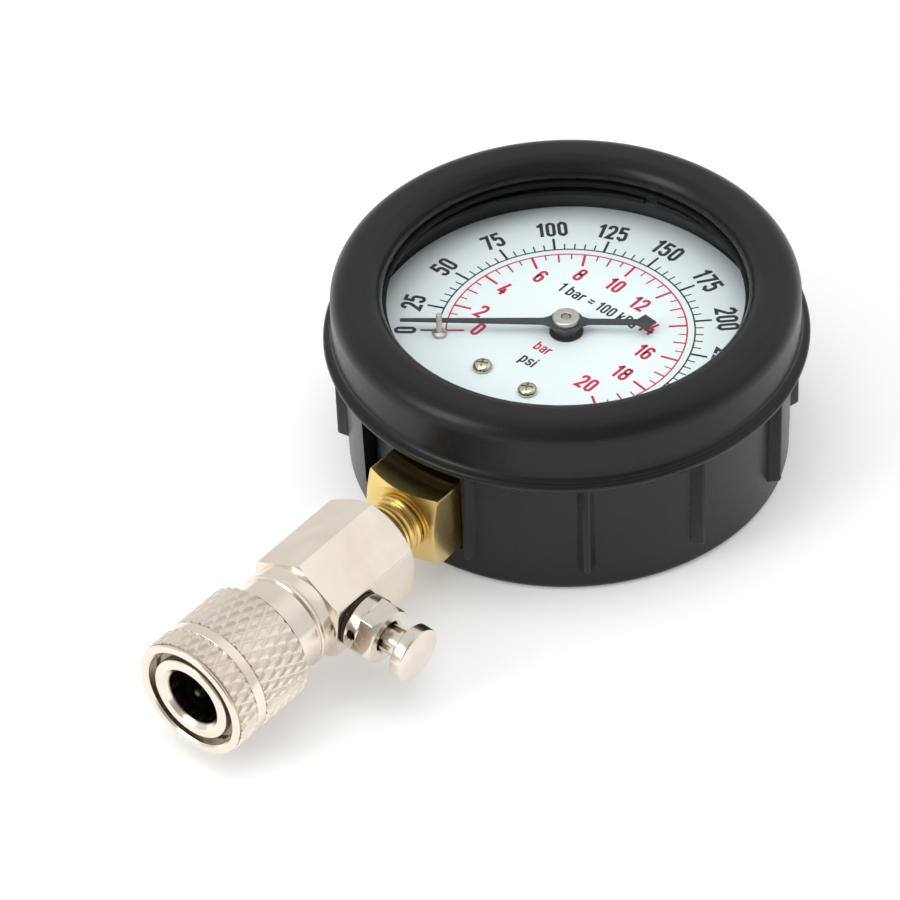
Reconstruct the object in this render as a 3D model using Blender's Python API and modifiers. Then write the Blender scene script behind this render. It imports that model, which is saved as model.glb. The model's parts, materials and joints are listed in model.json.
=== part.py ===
"""Compression tester gauge: a dial gauge in a rubber boot, lying on its back,
with a brass socket, a hexagon adapter, a quick coupler and a bleed valve.

World frame: origin at the centre of the boot's flat back, +Z out of the dial,
+Y towards the case's top, and the socket pointing along -Y.
"""
import math

import bmesh
import bpy
from mathutils import Matrix, Vector
from mathutils.geometry import convex_hull_2d

MM = 0.001

# Clearances
SEAT_GAP = 0.3 * MM       # between large pieces that rest on each other
FINE_GAP = 0.12 * MM      # between small pieces of the mechanism
RUN_GAP = 0.07 * MM       # radial, between a shaft and the hole it turns or slides in
THREAD_GAP = 0.25 * MM    # radial, between the plain walls that stand for two threads
FLUSH_STEP = 0.05 * MM    # how far a flush head stays below its face
RUN_PAST = 1.0 * MM       # how far a cutting or joining shape runs past the face it meets

# Rubber boot
BOOT_FLOOR = 2.0 * MM
BOOT_WALL = 2.8 * MM
BOOT_BOTTOM_ROUND = 1.5 * MM
BOOT_DRAFT = 0.3 * MM
RING_WALL = 3.0 * MM          # thick upper ring round the bezel
RING_SHOULDER = 3.3 * MM
RING_FILLET = 1.1 * MM        # between the upper ring and the flange
FLANGE_REACH = 1.5 * MM
FLANGE_THICKNESS = 1.9 * MM
FLANGE_DROP = 1.6 * MM        # flange underside above the bezel pocket's ledge
FLANGE_FLAT = 0.5 * MM        # flat left under the flange by its round edge
LIP_HEIGHT = 3.5 * MM         # from the lip's underside up to its crest
LIP_ROUND = 3.0 * MM
LIP_UNDER_ROUND = 0.35 * MM
BEZEL_SHOWS = 0.6 * MM        # bezel's edge inside the lip's edge
RIB_COUNT = 12
RIB_START = math.radians(-47.5)
RIB_WIDTH = 2.0 * MM
RIB_HEIGHT = 1.6 * MM
RIB_FOOT = 5.2 * MM
SLOT_SIDE_ROOM = 9.2 * MM     # how far the slot runs past the block on the left
SLOT_BELOW_BLOCK = 1.2 * MM
SLOT_TO_LEDGE = 0.4 * MM

# Case, bezel, window and ring under the window
CASE_R = 34.0 * MM
CASE_WALL = 0.9 * MM
CASE_CORNER = 1.6 * MM
BEZEL_WALL = 0.9 * MM
BEZEL_LIP_WIDTH = 5.9 * MM
BEZEL_LIP_THICKNESS = 0.8 * MM
BEZEL_SKIRT = 5.0 * MM
WINDOW_THICKNESS = 1.8 * MM
RING_THICKNESS = 1.0 * MM
RING_WIDTH = 2.6 * MM
RING_NOTCH = 2.2 * MM
RING_NOTCH_DEPTH = 0.8 * MM
RING_NOTCH_ANGLE = math.radians(101.0)
PIN_TO_WINDOW = 0.6 * MM

# Socket: block outside the case, bar inside it, tongue under the movement
AXIS_RISE = 10.2 * MM         # socket axis over the bar's underside
BLOCK_WIDTH = 14.0 * MM
BLOCK_HEIGHT = 13.6 * MM
BLOCK_REACH = 9.8 * MM        # from the case's wall to the block's turned front
BLOCK_ROOT = 2.0 * MM         # from the case's wall back to the block's rear face
BLOCK_CONE_R = 6.6 * MM
BLOCK_CONE_SLOPE = math.radians(27.0)
BAR_WIDTH = 12.0 * MM
BAR_HEIGHT = 15.0 * MM
TONGUE_THICKNESS = 5.7 * MM
TONGUE_END = 8.0 * MM
NECK_R = 5.0 * MM
NECK_LENGTH = 15.2 * MM
NECK_CHAMFER = 0.8 * MM
NECK_RELIEF = 0.8 * MM
NECK_RELIEF_DEPTH = 0.4 * MM
PASSAGE_R = 1.5 * MM
CROSS_PASSAGE_R = 0.9 * MM
CASE_SCREW_R = 1.3 * MM
CASE_SCREW_LENGTH = 5.5 * MM
CASE_SCREW_INSET = 4.5 * MM   # outer case screw from the case's wall
CASE_SCREW_STEP = 13.5 * MM   # from the outer to the inner case screw
CASE_SLOT_WIDTH = 0.5 * MM
PLUG_R = 2.8 * MM
PLUG_FLANGE_R = 4.4 * MM
PLUG_FLANGE_THICKNESS = 1.2 * MM
PLUG_Y = 19.0 * MM

# Bourdon tube and its tip
TUBE_R = 25.0 * MM
TUBE_HALF_THICKNESS = 1.1 * MM
TUBE_HALF_WIDTH = 3.5 * MM
TUBE_WALL = 0.3 * MM
TUBE_END_ANGLE = math.radians(-28.0)
TUBE_SEATING = 2.4 * MM       # length of the tube's root inside the bar
TUBE_POCKET_DEPTH = 3.0 * MM
TUBE_POCKET_ROOM = 0.5 * MM
TIP_ANGLE = math.radians(-34.0)
TIP_PIN_SHARE = 0.88          # of the tube's radius
TIP_LENGTH = 2.6 * MM
TIP_LIP = 0.3 * MM

# Gears, their plan following the tube's radius
MODULE_SHARE = 0.012
PINION_TEETH = 12
SECTOR_TEETH = 108            # of the full circle
PRESSURE_ANGLE = math.radians(25.0)
BACKLASH = 0.05 * MM
POINTER_SWEEP = math.radians(262.6)
TAIL_ARM_SHARE = 0.24
ROOT_DEPTH = 1.25             # tooth depths, in modules
TIP_HEIGHT = 0.95

# Movement
PLATE_THICKNESS = 1.2 * MM
PLATE_SPACING = 6.3 * MM
PLATE_MARGIN = 3.2 * MM
PILLAR_R = 1.5 * MM
PILLAR_TOP_SHARE = 0.3         # distance beyond the dial axis, of the tube's radius
PILLAR_TO_BAR = 0.9 * MM      # between the plates' edge and the bar's step
SCREW_TO_BAR = 0.5 * MM
SCREW_HEAD_R = 1.6 * MM
SCREW_HEAD_HEIGHT = 0.9 * MM
SCREW_R = 0.8 * MM
SCREW_SLOT_WIDTH = 0.4 * MM
SCREW_SLOT_DEPTH = 0.4 * MM
SCREW_SLOT_TURN = math.radians(35.0)
TAPPED_DEPTH = 3.4 * MM
PLATE_SCREW_GRIP = 2.6 * MM
MOVEMENT_SCREW_GRIP = 2.8 * MM
SECTOR_RAISED = 2.4 * MM      # sector's underside over the back plate
SECTOR_THICKNESS = 1.0 * MM
SECTOR_RIM = 3.0 * MM
SECTOR_SPOKE = math.radians(9.0)
HUB_FLARE = math.radians(70.0)
TAIL_INSET = 0.06 * MM
LINK_THICKNESS = 0.8 * MM
LINK_END_R = 1.45 * MM
PIN_R = 0.55 * MM
PIN_HEAD_STEP = 0.55 * MM
PIN_HEAD_HEIGHT = 0.5 * MM
OPEN_PIVOT_GAP = 0.35 * MM
SHAFT_R = 0.9 * MM
PIVOT_R = 0.5 * MM
POINTER_SEAT_R = 0.68 * MM
SECTOR_HUB_R = 2.3 * MM
PINION_OVERLAP = 0.6 * MM     # pinion's teeth above and below the sector
SPRING_STRIP = 0.12 * MM
SPRING_STRIP_HEIGHT = 0.6 * MM
SPRING_INNER_R = 1.75 * MM
SPRING_OUTER_R = 4.7 * MM
SPRING_TURNS = 4.5
SPRING_BELOW_PLATE = 1.5 * MM
COLLET_OVERLAP = 0.2 * MM
STUD_R = 0.6 * MM
POST_R = 1.6 * MM
POST_HEIGHT = 4.8 * MM

# Dial and pointer
FACE_TURN = math.radians(-1.8)      # dial and boot sit slightly round from the socket
DIAL_ROOM = 0.5 * MM          # between the dial's edge and the case's wall
DIAL_THICKNESS = 0.5 * MM
DIAL_HOLE_R = 2.8 * MM
DIAL_SCREW_RADIUS = 16.3 * MM
DIAL_SCREW_SPREAD = math.radians(17.0)
DIAL_SCREW_HEAD_R = 1.65 * MM
DIAL_SCREW_HEAD = 1.1 * MM
DIAL_SCREW_LENGTH = 3.0 * MM
DIAL_SCREW_ROOM = 0.2 * MM
DIAL_SLOT_WIDTH = 0.4 * MM
DIAL_SLOT_SHARE = 1.24        # slot's length, of the head's radius
DIAL_SLOT_TURN = math.radians(28.0)
POINTER_REST = math.radians(217.6)  # on the dial, measured from 3 o'clock
POINTER_SHORT = 5.3 * MM      # from the pointer's tip to the dial's edge
POINTER_TIP_WIDTH = 0.6 * MM
POINTER_ROOT_WIDTH = 1.5 * MM
POINTER_TAIL = 14.8 * MM
POINTER_TAIL_WIDTH = 1.9 * MM
POINTER_DIAMOND = 3.9 * MM
POINTER_DISC_R = 2.9 * MM
POINTER_NECK = 0.9 * MM       # length over which a bar widens into the disc
POINTER_JOIN = math.radians(12.0)
POINTER_THICKNESS = 0.35 * MM
BOSS_R = 2.0 * MM
BOSS_HEIGHT = 1.3 * MM
BOSS_TO_DIAL = 0.4 * MM
BUSH_R = 2.25 * MM
BUSH_HEIGHT = 0.9 * MM
BUSH_CHAMFER = 0.25 * MM
SHAFT_BELOW_BUSH = 0.2 * MM
STOP_INSET = 11.8 * MM        # from the stop pin to the dial's edge
STOP_PIN_R = 0.5 * MM
STOP_FOOT_R = 1.25 * MM
STOP_FOOT_HEIGHT = 0.6 * MM
STOP_FOOT_EDGE = 0.15 * MM
STOP_ROOT = 0.8 * MM
STOP_HEIGHT = 4.3 * MM

# Adapter
ADAPTER_TURN = math.radians(-6.0)
NECK_SHOWS = 6.4 * MM         # bare neck between the block and the hexagon
HEX_FLATS = 17.0 * MM
HEX_LENGTH = 19.1 * MM
HEX_START_CHAMFER = 1.1 * MM
HEX_END_CHAMFER = 0.3 * MM
HEX_FACE_STEP = 0.5 * MM      # face's edge inside the flats
COLLAR_STEP = 0.2 * MM        # collar below the flats
COLLAR_LENGTH = 2.7 * MM
PORT_DEPTH = 10.3 * MM
SEAL_THICKNESS = 0.9 * MM
COUPLER_PORT_R = 5.8 * MM
COUPLER_PORT_DEPTH = 3.8 * MM
BLEED_PASSAGE_R = 2.0 * MM
WASHER_BORE_STEP = 0.3 * MM
WASHER_INSET = 0.4 * MM       # washer's edge inside the neck's

# Coupler body and sleeve
JOINT_RING_R = 8.5 * MM
JOINT_RING_WIDTH = 0.7 * MM
GUIDE_R = 8.0 * MM
GUIDE_LENGTH = 8.18 * MM
CORE_R = 7.0 * MM
CORE_LENGTH = 6.7 * MM
NOSE_R = 7.3 * MM
NOSE_LENGTH = 6.9 * MM
NOSE_CHAMFER = 0.4 * MM
BORE_R = 4.85 * MM
BORE_DEPTH = 12.0 * MM
BORE_CHAMFER = 0.8 * MM
BALL_R = 1.3 * MM
BALL_COUNT = 6
BALL_INSET = 5.3 * MM         # balls' plane behind the body's face
BALL_CENTRE_R = 5.92 * MM
BALL_SEAT_SHARE = 0.88        # hole under a ball, of the ball's radius
SEAL_INSET = 9.2 * MM         # seal's plane behind the body's face
SEAL_R = 0.75 * MM
SEAL_ROOM = 0.15 * MM
SEAL_SQUEEZE = 0.1 * MM
SLEEVE_R = 10.3 * MM
SLEEVE_LENGTH = 16.7 * MM
SLEEVE_CHAMFER = 0.5 * MM
SLEEVE_RIM = 0.2 * MM         # sleeve's rim in front of the body's face
SLEEVE_RIM_BAND = 0.45 * MM
SLEEVE_RIM_STEP = 0.2 * MM    # rim band below the knurl
SLEEVE_RIM_ROUND = 0.3 * MM
SLEEVE_GROOVE_DEPTH = 0.4 * MM
SLEEVE_RIM_GROOVE = 0.35 * MM
SLEEVE_REAR_GROOVE = 0.3 * MM
SLEEVE_FRONT_PART = 6.35 * MM  # from the rear groove to the sleeve's rim
SLEEVE_MOUTH = 0.35 * MM
SLEEVE_POCKET_R = 8.55 * MM
SLEEVE_POCKET_DEPTH = 3.6 * MM
SLEEVE_LAND = 3.7 * MM
SLEEVE_GUIDE_OVERHANG = 0.6 * MM
SLEEVE_TRAVEL = 3.5 * MM
RETAINER_THICKNESS = 0.7 * MM
RETAINER_ROOM = 0.2 * MM
RETAINER_GROOVE_DEPTH = 0.5 * MM
RETAINER_INSET = 0.3 * MM
RETAINER_GAP = 1.6 * MM
COIL_WIRE_R = 0.4 * MM
COIL_TURNS = 3.0

# Bleed valve
VALVE_FROM_HEX_END = 5.1 * MM
VALVE_RING_R = 0.3 * MM
VALVE_RING_INSET = 0.2 * MM
VALVE_FLANGE_R = 4.9 * MM
VALVE_FLANGE_THICKNESS = 2.4 * MM
VALVE_FLATS = 9.4 * MM
VALVE_HEX_HEIGHT = 2.93 * MM
VALVE_HEX_CHAMFER = 1.0 * MM
VALVE_HEX_TURN = math.radians(6.2)
VALVE_FACE_STEP = 0.2 * MM
VALVE_THREAD_R = 2.9 * MM
VALVE_THREAD_DEPTH = 3.6 * MM
VALVE_PORT_ROOM = 0.4 * MM
VALVE_CHAMBER_R = 2.65 * MM
VALVE_CHAMBER_FLOOR = 0.3 * MM
VALVE_SPRING_WALL = 0.7 * MM
VALVE_SPRING_DEPTH = 1.5 * MM
VALVE_PORT_R = 0.9 * MM
VENT_R = 0.8 * MM
VENT_SINK_R = 1.1 * MM
VENT_ANGLE = math.radians(165.9)
BUTTON_R = 4.7 * MM
BUTTON_THICKNESS = 2.2 * MM
BUTTON_EDGE = 0.2 * MM
BUTTON_STANDOFF = 3.77 * MM
BUTTON_STEM_R = 2.35 * MM
BUTTON_TRAVEL = 2.2 * MM
BUTTON_STOP_ROOM = 0.4 * MM
ROD_ROOM = 0.25 * MM
ROD_BEYOND_SEAL = 0.5 * MM
FLUTE_WIDTH = 1.3 * MM
FLUTE_DEPTH = 0.7 * MM
FLUTE_RUNOUT = 1.2 * MM
FLUTE_ANGLE = math.radians(75.0)
VALVE_SEAL_THICKNESS = 1.2 * MM
VALVE_SEAL_INSET = 0.35 * MM
VALVE_WIRE_R = 0.25 * MM
VALVE_SPRING_TURNS = 4.0

# Heights worked out from the floor upwards
CASE_FLOOR_Z = BOOT_FLOOR + SEAT_GAP
BAR_BOTTOM_Z = CASE_FLOOR_Z + CASE_WALL + SEAT_GAP
AXIS_Z = BAR_BOTTOM_Z + AXIS_RISE
TONGUE_TOP_Z = BAR_BOTTOM_Z + TONGUE_THICKNESS
BACK_PLATE_Z = TONGUE_TOP_Z + SEAT_GAP
BACK_PLATE_TOP_Z = BACK_PLATE_Z + PLATE_THICKNESS
FRONT_PLATE_Z = BACK_PLATE_TOP_Z + PLATE_SPACING
FRONT_PLATE_TOP_Z = FRONT_PLATE_Z + PLATE_THICKNESS
DIAL_Z = FRONT_PLATE_TOP_Z + FINE_GAP + POST_HEIGHT + SEAT_GAP
DIAL_TOP_Z = DIAL_Z + DIAL_THICKNESS
SECTOR_Z = BACK_PLATE_TOP_Z + SECTOR_RAISED
SECTOR_TOP_Z = SECTOR_Z + SECTOR_THICKNESS
LINK_Z = SECTOR_TOP_Z + FINE_GAP
HAIRSPRING_Z = FRONT_PLATE_Z - SPRING_BELOW_PLATE
BOSS_Z = DIAL_TOP_Z + BOSS_TO_DIAL
POINTER_Z = BOSS_Z + BOSS_HEIGHT + FINE_GAP
BUSH_Z = POINTER_Z + POINTER_THICKNESS + FINE_GAP
WINDOW_Z = DIAL_TOP_Z + STOP_HEIGHT + PIN_TO_WINDOW
RING_Z = WINDOW_Z - SEAT_GAP - RING_THICKNESS
CASE_RIM_Z = RING_Z - SEAT_GAP
BEZEL_LIP_Z = WINDOW_Z + WINDOW_THICKNESS + SEAT_GAP
BEZEL_TOP_Z = BEZEL_LIP_Z + BEZEL_LIP_THICKNESS
BEZEL_BOTTOM_Z = CASE_RIM_Z - BEZEL_SKIRT
LIP_Z = BEZEL_TOP_Z + SEAT_GAP
CREST_Z = LIP_Z + LIP_HEIGHT
LEDGE_Z = BEZEL_BOTTOM_Z - SEAT_GAP
FLANGE_BOTTOM_Z = LEDGE_Z + FLANGE_DROP
FLANGE_TOP_Z = FLANGE_BOTTOM_Z + FLANGE_THICKNESS

# Radii worked out from the case outwards
CUP_INNER_R = CASE_R + SEAT_GAP
CUP_R = CUP_INNER_R + BOOT_WALL
BEZEL_INNER_R = CASE_R + SEAT_GAP
BEZEL_R = BEZEL_INNER_R + BEZEL_WALL
BEZEL_EDGE_R = BEZEL_R - BEZEL_LIP_WIDTH
POCKET_R = BEZEL_R + SEAT_GAP
UPPER_RING_R = POCKET_R + RING_WALL
FLANGE_R = UPPER_RING_R + FLANGE_REACH
OPENING_R = BEZEL_EDGE_R + BEZEL_SHOWS
WINDOW_R = BEZEL_INNER_R - SEAT_GAP
RING_R = CASE_R - SEAT_GAP
DIAL_R = CASE_R - CASE_WALL - DIAL_ROOM
POINTER_LENGTH = DIAL_R - POINTER_SHORT
STOP_RADIUS = DIAL_R - STOP_INSET

# Stations along the socket, worked out from the case outwards
BLOCK_FRONT = CASE_R + BLOCK_REACH
NECK_END = BLOCK_FRONT + NECK_LENGTH
HEX_START = BLOCK_FRONT + NECK_SHOWS
HEX_END = HEX_START + HEX_LENGTH
COLLAR_R = HEX_FLATS / 2 - COLLAR_STEP
COLLAR_END = HEX_END + COLLAR_LENGTH
VALVE_STATION = HEX_END - VALVE_FROM_HEX_END
JOINT_START = COLLAR_END + FINE_GAP
JOINT_END = JOINT_START + JOINT_RING_WIDTH
GUIDE_END = JOINT_END + GUIDE_LENGTH
NOSE_START = GUIDE_END + CORE_LENGTH
FACE_END = NOSE_START + NOSE_LENGTH
SLEEVE_START = FACE_END + SLEEVE_RIM - SLEEVE_LENGTH

# Where the Bourdon tube's root meets the bar
TUBE_ROOT_X = BAR_WIDTH / 2 - TUBE_SEATING
TUBE_ROOT_Y = math.sqrt(TUBE_R ** 2 - TUBE_ROOT_X ** 2)
TUBE_ROOT_ANGLE = math.atan2(-TUBE_ROOT_Y, -TUBE_ROOT_X)
TUBE_POCKET_HALF = TUBE_HALF_THICKNESS + SEAT_GAP + TUBE_POCKET_ROOM
BAR_END = TUBE_ROOT_Y - TUBE_POCKET_HALF - TUBE_POCKET_ROOM
PASSAGE_END = TUBE_ROOT_Y - CROSS_PASSAGE_R
CASE_SCREW_Y = (CASE_SCREW_INSET - CASE_R, CASE_SCREW_INSET + CASE_SCREW_STEP - CASE_R)

# Places in the plan of the movement
MODULE = MODULE_SHARE * TUBE_R
TAIL_ARM = TAIL_ARM_SHARE * TUBE_R
TIP_PIN_R = TIP_PIN_SHARE * TUBE_R
GEAR_RATIO = SECTOR_TEETH / PINION_TEETH
CENTRE_DISTANCE = MODULE * (PINION_TEETH + SECTOR_TEETH) / 2
SECTOR_SWING = POINTER_SWEEP / GEAR_RATIO
TIP_PIN = Vector((TIP_PIN_R * math.cos(TIP_ANGLE), TIP_PIN_R * math.sin(TIP_ANGLE)))
TIP_HEADING = math.radians(54.7)
HEADING = Vector((math.cos(TIP_HEADING), math.sin(TIP_HEADING)))
ACROSS = Vector((HEADING.y, -HEADING.x))
PIVOT_ACROSS = TIP_PIN.dot(ACROSS) - TAIL_ARM
PIVOT_ALONG = -math.sqrt(CENTRE_DISTANCE ** 2 - PIVOT_ACROSS ** 2)
SECTOR_PIVOT = PIVOT_ACROSS * ACROSS + PIVOT_ALONG * HEADING
SECTOR_FACING = math.atan2(-SECTOR_PIVOT.y, -SECTOR_PIVOT.x)
TAIL_ANGLE = math.atan2(ACROSS.y, ACROSS.x) - SECTOR_SWING / 2
LINK_PIN = SECTOR_PIVOT + TAIL_ARM * Vector((math.cos(TAIL_ANGLE), math.sin(TAIL_ANGLE)))
PILLARS = (
    Vector((-0.016 * TUBE_R, PILLAR_TO_BAR + PLATE_MARGIN - BAR_END)),
    -PILLAR_TOP_SHARE * TUBE_R * SECTOR_PIVOT.normalized(),
)
SCREW_ROOM = SCREW_HEAD_R + SEAT_GAP
MOVEMENT_SCREWS = (
    Vector((-0.148 * TUBE_R, -0.504 * TUBE_R)),
    Vector((0.136 * TUBE_R, SCREW_TO_BAR + SCREW_ROOM - BAR_END)),
)
RELIEF_PLACE = Vector((0.0, PLUG_Y))

PART = bpy.data.collections.new("compression_tester_gauge")
CUTTERS = bpy.data.collections.new("cutters")


def polar(radius, angle):
    """Point in the plan at this distance and angle from the dial axis."""
    return Vector((radius * math.cos(angle), radius * math.sin(angle)))


def arc(centre_x, centre_y, radius, start, end, steps):
    """Points of an arc, its angles in degrees."""
    points = []
    for index in range(steps + 1):
        angle = math.radians(start + (end - start) * index / steps)
        points.append((centre_x + radius * math.cos(angle), centre_y + radius * math.sin(angle)))
    return points


def circle(centre, radius, steps):
    """Closed loop of points round a centre."""
    return arc(centre[0], centre[1], radius, 0.0, 360.0, steps)[:-1]


def hull(circles, steps=24):
    """Outline wrapped round circles given as (centre, radius)."""
    points = [Vector(p) for centre, radius in circles for p in circle(centre, radius, steps)]
    return [points[index] for index in convex_hull_2d(points)]


def finish(name, colour, metallic, roughness):
    """Principled material of one kind of surface."""
    material = bpy.data.materials.new(name)
    material.use_nodes = True
    shader = material.node_tree.nodes["Principled BSDF"]
    shader.inputs["Base Color"].default_value = (*colour, 1.0)
    shader.inputs["Metallic"].default_value = metallic
    shader.inputs["Roughness"].default_value = roughness
    material.diffuse_color = (*colour, 1.0)
    return material


def place(mesh, name, material=None, parent=None):
    """Put a mesh in the scene as a named part, or as a cutter without a material."""
    obj = bpy.data.objects.new(name, mesh)
    if material is None:
        CUTTERS.objects.link(obj)
        obj.hide_render = True
        obj.display_type = "WIRE"
    else:
        PART.objects.link(obj)
        mesh.materials.append(material)
    obj.parent = parent
    return obj


def axis_empty(name, location, rotation, parent=None):
    """Empty that carries the pieces turned about one axis."""
    empty = bpy.data.objects.new(name, None)
    PART.objects.link(empty)
    empty.location = location
    empty.rotation_euler = rotation
    empty.parent = parent
    empty.hide_render = True
    return empty


def turned(name, profile, material=None, parent=None, steps=48, closed=True):
    """Turn a profile of (radius, height) points about the local Z axis."""
    mesh = bpy.data.meshes.new(name)
    count = len(profile)
    edges = [(index, index + 1) for index in range(count - 1)]
    if closed:
        edges.append((count - 1, 0))
    mesh.from_pydata([(radius, 0.0, height) for radius, height in profile], edges, [])
    obj = place(mesh, name, material, parent)
    screw = obj.modifiers.new("turn", "SCREW")
    screw.axis = "Z"
    screw.angle = 2 * math.pi
    screw.steps = steps
    screw.render_steps = steps
    screw.use_merge_vertices = True
    screw.merge_threshold = 0.001 * MM
    screw.use_smooth_shade = True
    return obj


def turned_ring(name, inner, outer, bottom, top, material=None, parent=None, steps=48):
    """Plain ring of rectangular section."""
    profile = [(outer, top), (outer, bottom), (inner, bottom), (inner, top)]
    return turned(name, profile, material, parent, steps)


def turned_rod(name, stations, material=None, parent=None, steps=24):
    """Solid rod from (radius, height) stations listed from the top down."""
    profile = [(0.0, stations[0][1])] + list(stations) + [(0.0, stations[-1][1])]
    return turned(name, profile, material, parent, steps, closed=False)


def cylinder(name, radius, bottom, top, material=None, parent=None, steps=24):
    """Upright cylinder, or a prism when it has few steps."""
    shape = bmesh.new()
    bmesh.ops.create_cone(
        shape, cap_ends=True, segments=steps, radius1=radius, radius2=radius, depth=top - bottom,
        matrix=Matrix.Translation((0.0, 0.0, (top + bottom) / 2)),
    )
    mesh = bpy.data.meshes.new(name)
    shape.to_mesh(mesh)
    shape.free()
    return place(mesh, name, material, parent)


def box(name, low, high, material=None, parent=None):
    """Box between two corners."""
    low = Vector(low)
    high = Vector(high)
    shape = bmesh.new()
    size = high - low
    matrix = Matrix.Translation((low + high) / 2) @ Matrix.Diagonal((*size, 1.0))
    bmesh.ops.create_cube(shape, size=1.0, matrix=matrix)
    mesh = bpy.data.meshes.new(name)
    shape.to_mesh(mesh)
    shape.free()
    return place(mesh, name, material, parent)


def curve_to_mesh(curve, name, scale=(1.0, 1.0, 1.0)):
    """Turn a curve into a welded mesh and drop the curve."""
    helper = bpy.data.objects.new(name + "_curve", curve)
    helper.scale = scale
    CUTTERS.objects.link(helper)
    bpy.context.view_layer.update()
    graph = bpy.context.evaluated_depsgraph_get()
    mesh = bpy.data.meshes.new_from_object(helper.evaluated_get(graph))
    mesh.transform(helper.matrix_world)
    mesh.name = name
    shape = bmesh.new()
    shape.from_mesh(mesh)
    bmesh.ops.remove_doubles(shape, verts=shape.verts, dist=0.001 * MM)
    shape.to_mesh(mesh)
    shape.free()
    bpy.data.objects.remove(helper)
    bpy.data.curves.remove(curve)
    return mesh


def flat_plate(name, loops, bottom, top, material=None, parent=None):
    """Plate between two heights, its first loop the outline and the others holes."""
    curve = bpy.data.curves.new(name, "CURVE")
    curve.dimensions = "2D"
    curve.fill_mode = "BOTH"
    curve.extrude = (top - bottom) / 2
    for loop in loops:
        spline = curve.splines.new("POLY")
        spline.points.add(len(loop) - 1)
        for point, place_at in zip(spline.points, loop):
            point.co = (place_at[0], place_at[1], 0.0, 1.0)
        spline.use_cyclic_u = True
    mesh = curve_to_mesh(curve, name)
    mesh.transform(Matrix.Translation((0.0, 0.0, (top + bottom) / 2)))
    return place(mesh, name, material, parent)


def wire(name, points, radius, material, parent=None, caps=True, scale=(1.0, 1.0, 1.0)):
    """Round wire or open tube along a list of points."""
    curve = bpy.data.curves.new(name, "CURVE")
    curve.dimensions = "3D"
    curve.bevel_depth = radius
    curve.bevel_resolution = 2
    curve.use_fill_caps = caps
    spline = curve.splines.new("POLY")
    spline.points.add(len(points) - 1)
    for point, place_at in zip(spline.points, points):
        point.co = (*place_at, 1.0)
    return place(curve_to_mesh(curve, name, scale), name, material, parent)


def coil(name, radius, wire_r, bottom, top, turns, material, parent, per_turn=10):
    """Compression spring standing on the local Z axis."""
    count = int(turns * per_turn)
    points = []
    for index in range(count + 1):
        share = index / count
        angle = 2 * math.pi * turns * share
        height = bottom + wire_r + (top - bottom - 2 * wire_r) * share
        points.append((radius * math.cos(angle), radius * math.sin(angle), height))
    return wire(name, points, wire_r, material, parent)


def ring_seal(name, radius, section_r, height, material, parent=None, segments=32):
    """Rubber ring of round section about the local Z axis."""
    bpy.ops.mesh.primitive_torus_add(
        major_segments=segments, minor_segments=8, major_radius=radius, minor_radius=section_r,
    )
    made = bpy.context.object
    mesh = made.data
    mesh.transform(Matrix.Translation((0.0, 0.0, height)))
    bpy.data.objects.remove(made)
    return place(mesh, name, material, parent)


def combine(obj, tool, operation):
    """Boolean of a part with a cutter."""
    modifier = obj.modifiers.new(operation.lower(), "BOOLEAN")
    modifier.operation = operation
    modifier.solver = "EXACT"
    modifier.object = tool
    return obj


def cut(obj, tool):
    """Take the tool's shape out of a part."""
    return combine(obj, tool, "DIFFERENCE")


def add(obj, tool):
    """Join the tool's shape to a part."""
    return combine(obj, tool, "UNION")


def tooth_half_angle(radius, pitch_r, teeth):
    """Half the angle that a tooth fills at this radius, on involute flanks."""
    base_r = pitch_r * math.cos(PRESSURE_ANGLE)
    at_radius = math.acos(min(1.0, base_r / radius))
    rolled = math.tan(PRESSURE_ANGLE) - PRESSURE_ANGLE
    unrolled = math.tan(at_radius) - at_radius
    return math.pi / (2 * teeth) - BACKLASH / (2 * pitch_r) + rolled - unrolled


def tooth(centre_angle, teeth, flank_steps):
    """Points of one tooth from its right root to its left root."""
    pitch_r = MODULE * teeth / 2
    root_r = pitch_r - ROOT_DEPTH * MODULE
    tip_r = pitch_r + TIP_HEIGHT * MODULE
    radii = [root_r + (tip_r - root_r) * index / flank_steps for index in range(flank_steps + 1)]
    right = [polar(r, centre_angle - tooth_half_angle(r, pitch_r, teeth)) for r in radii]
    left = [polar(r, centre_angle + tooth_half_angle(r, pitch_r, teeth)) for r in reversed(radii)]
    return right + left


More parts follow.
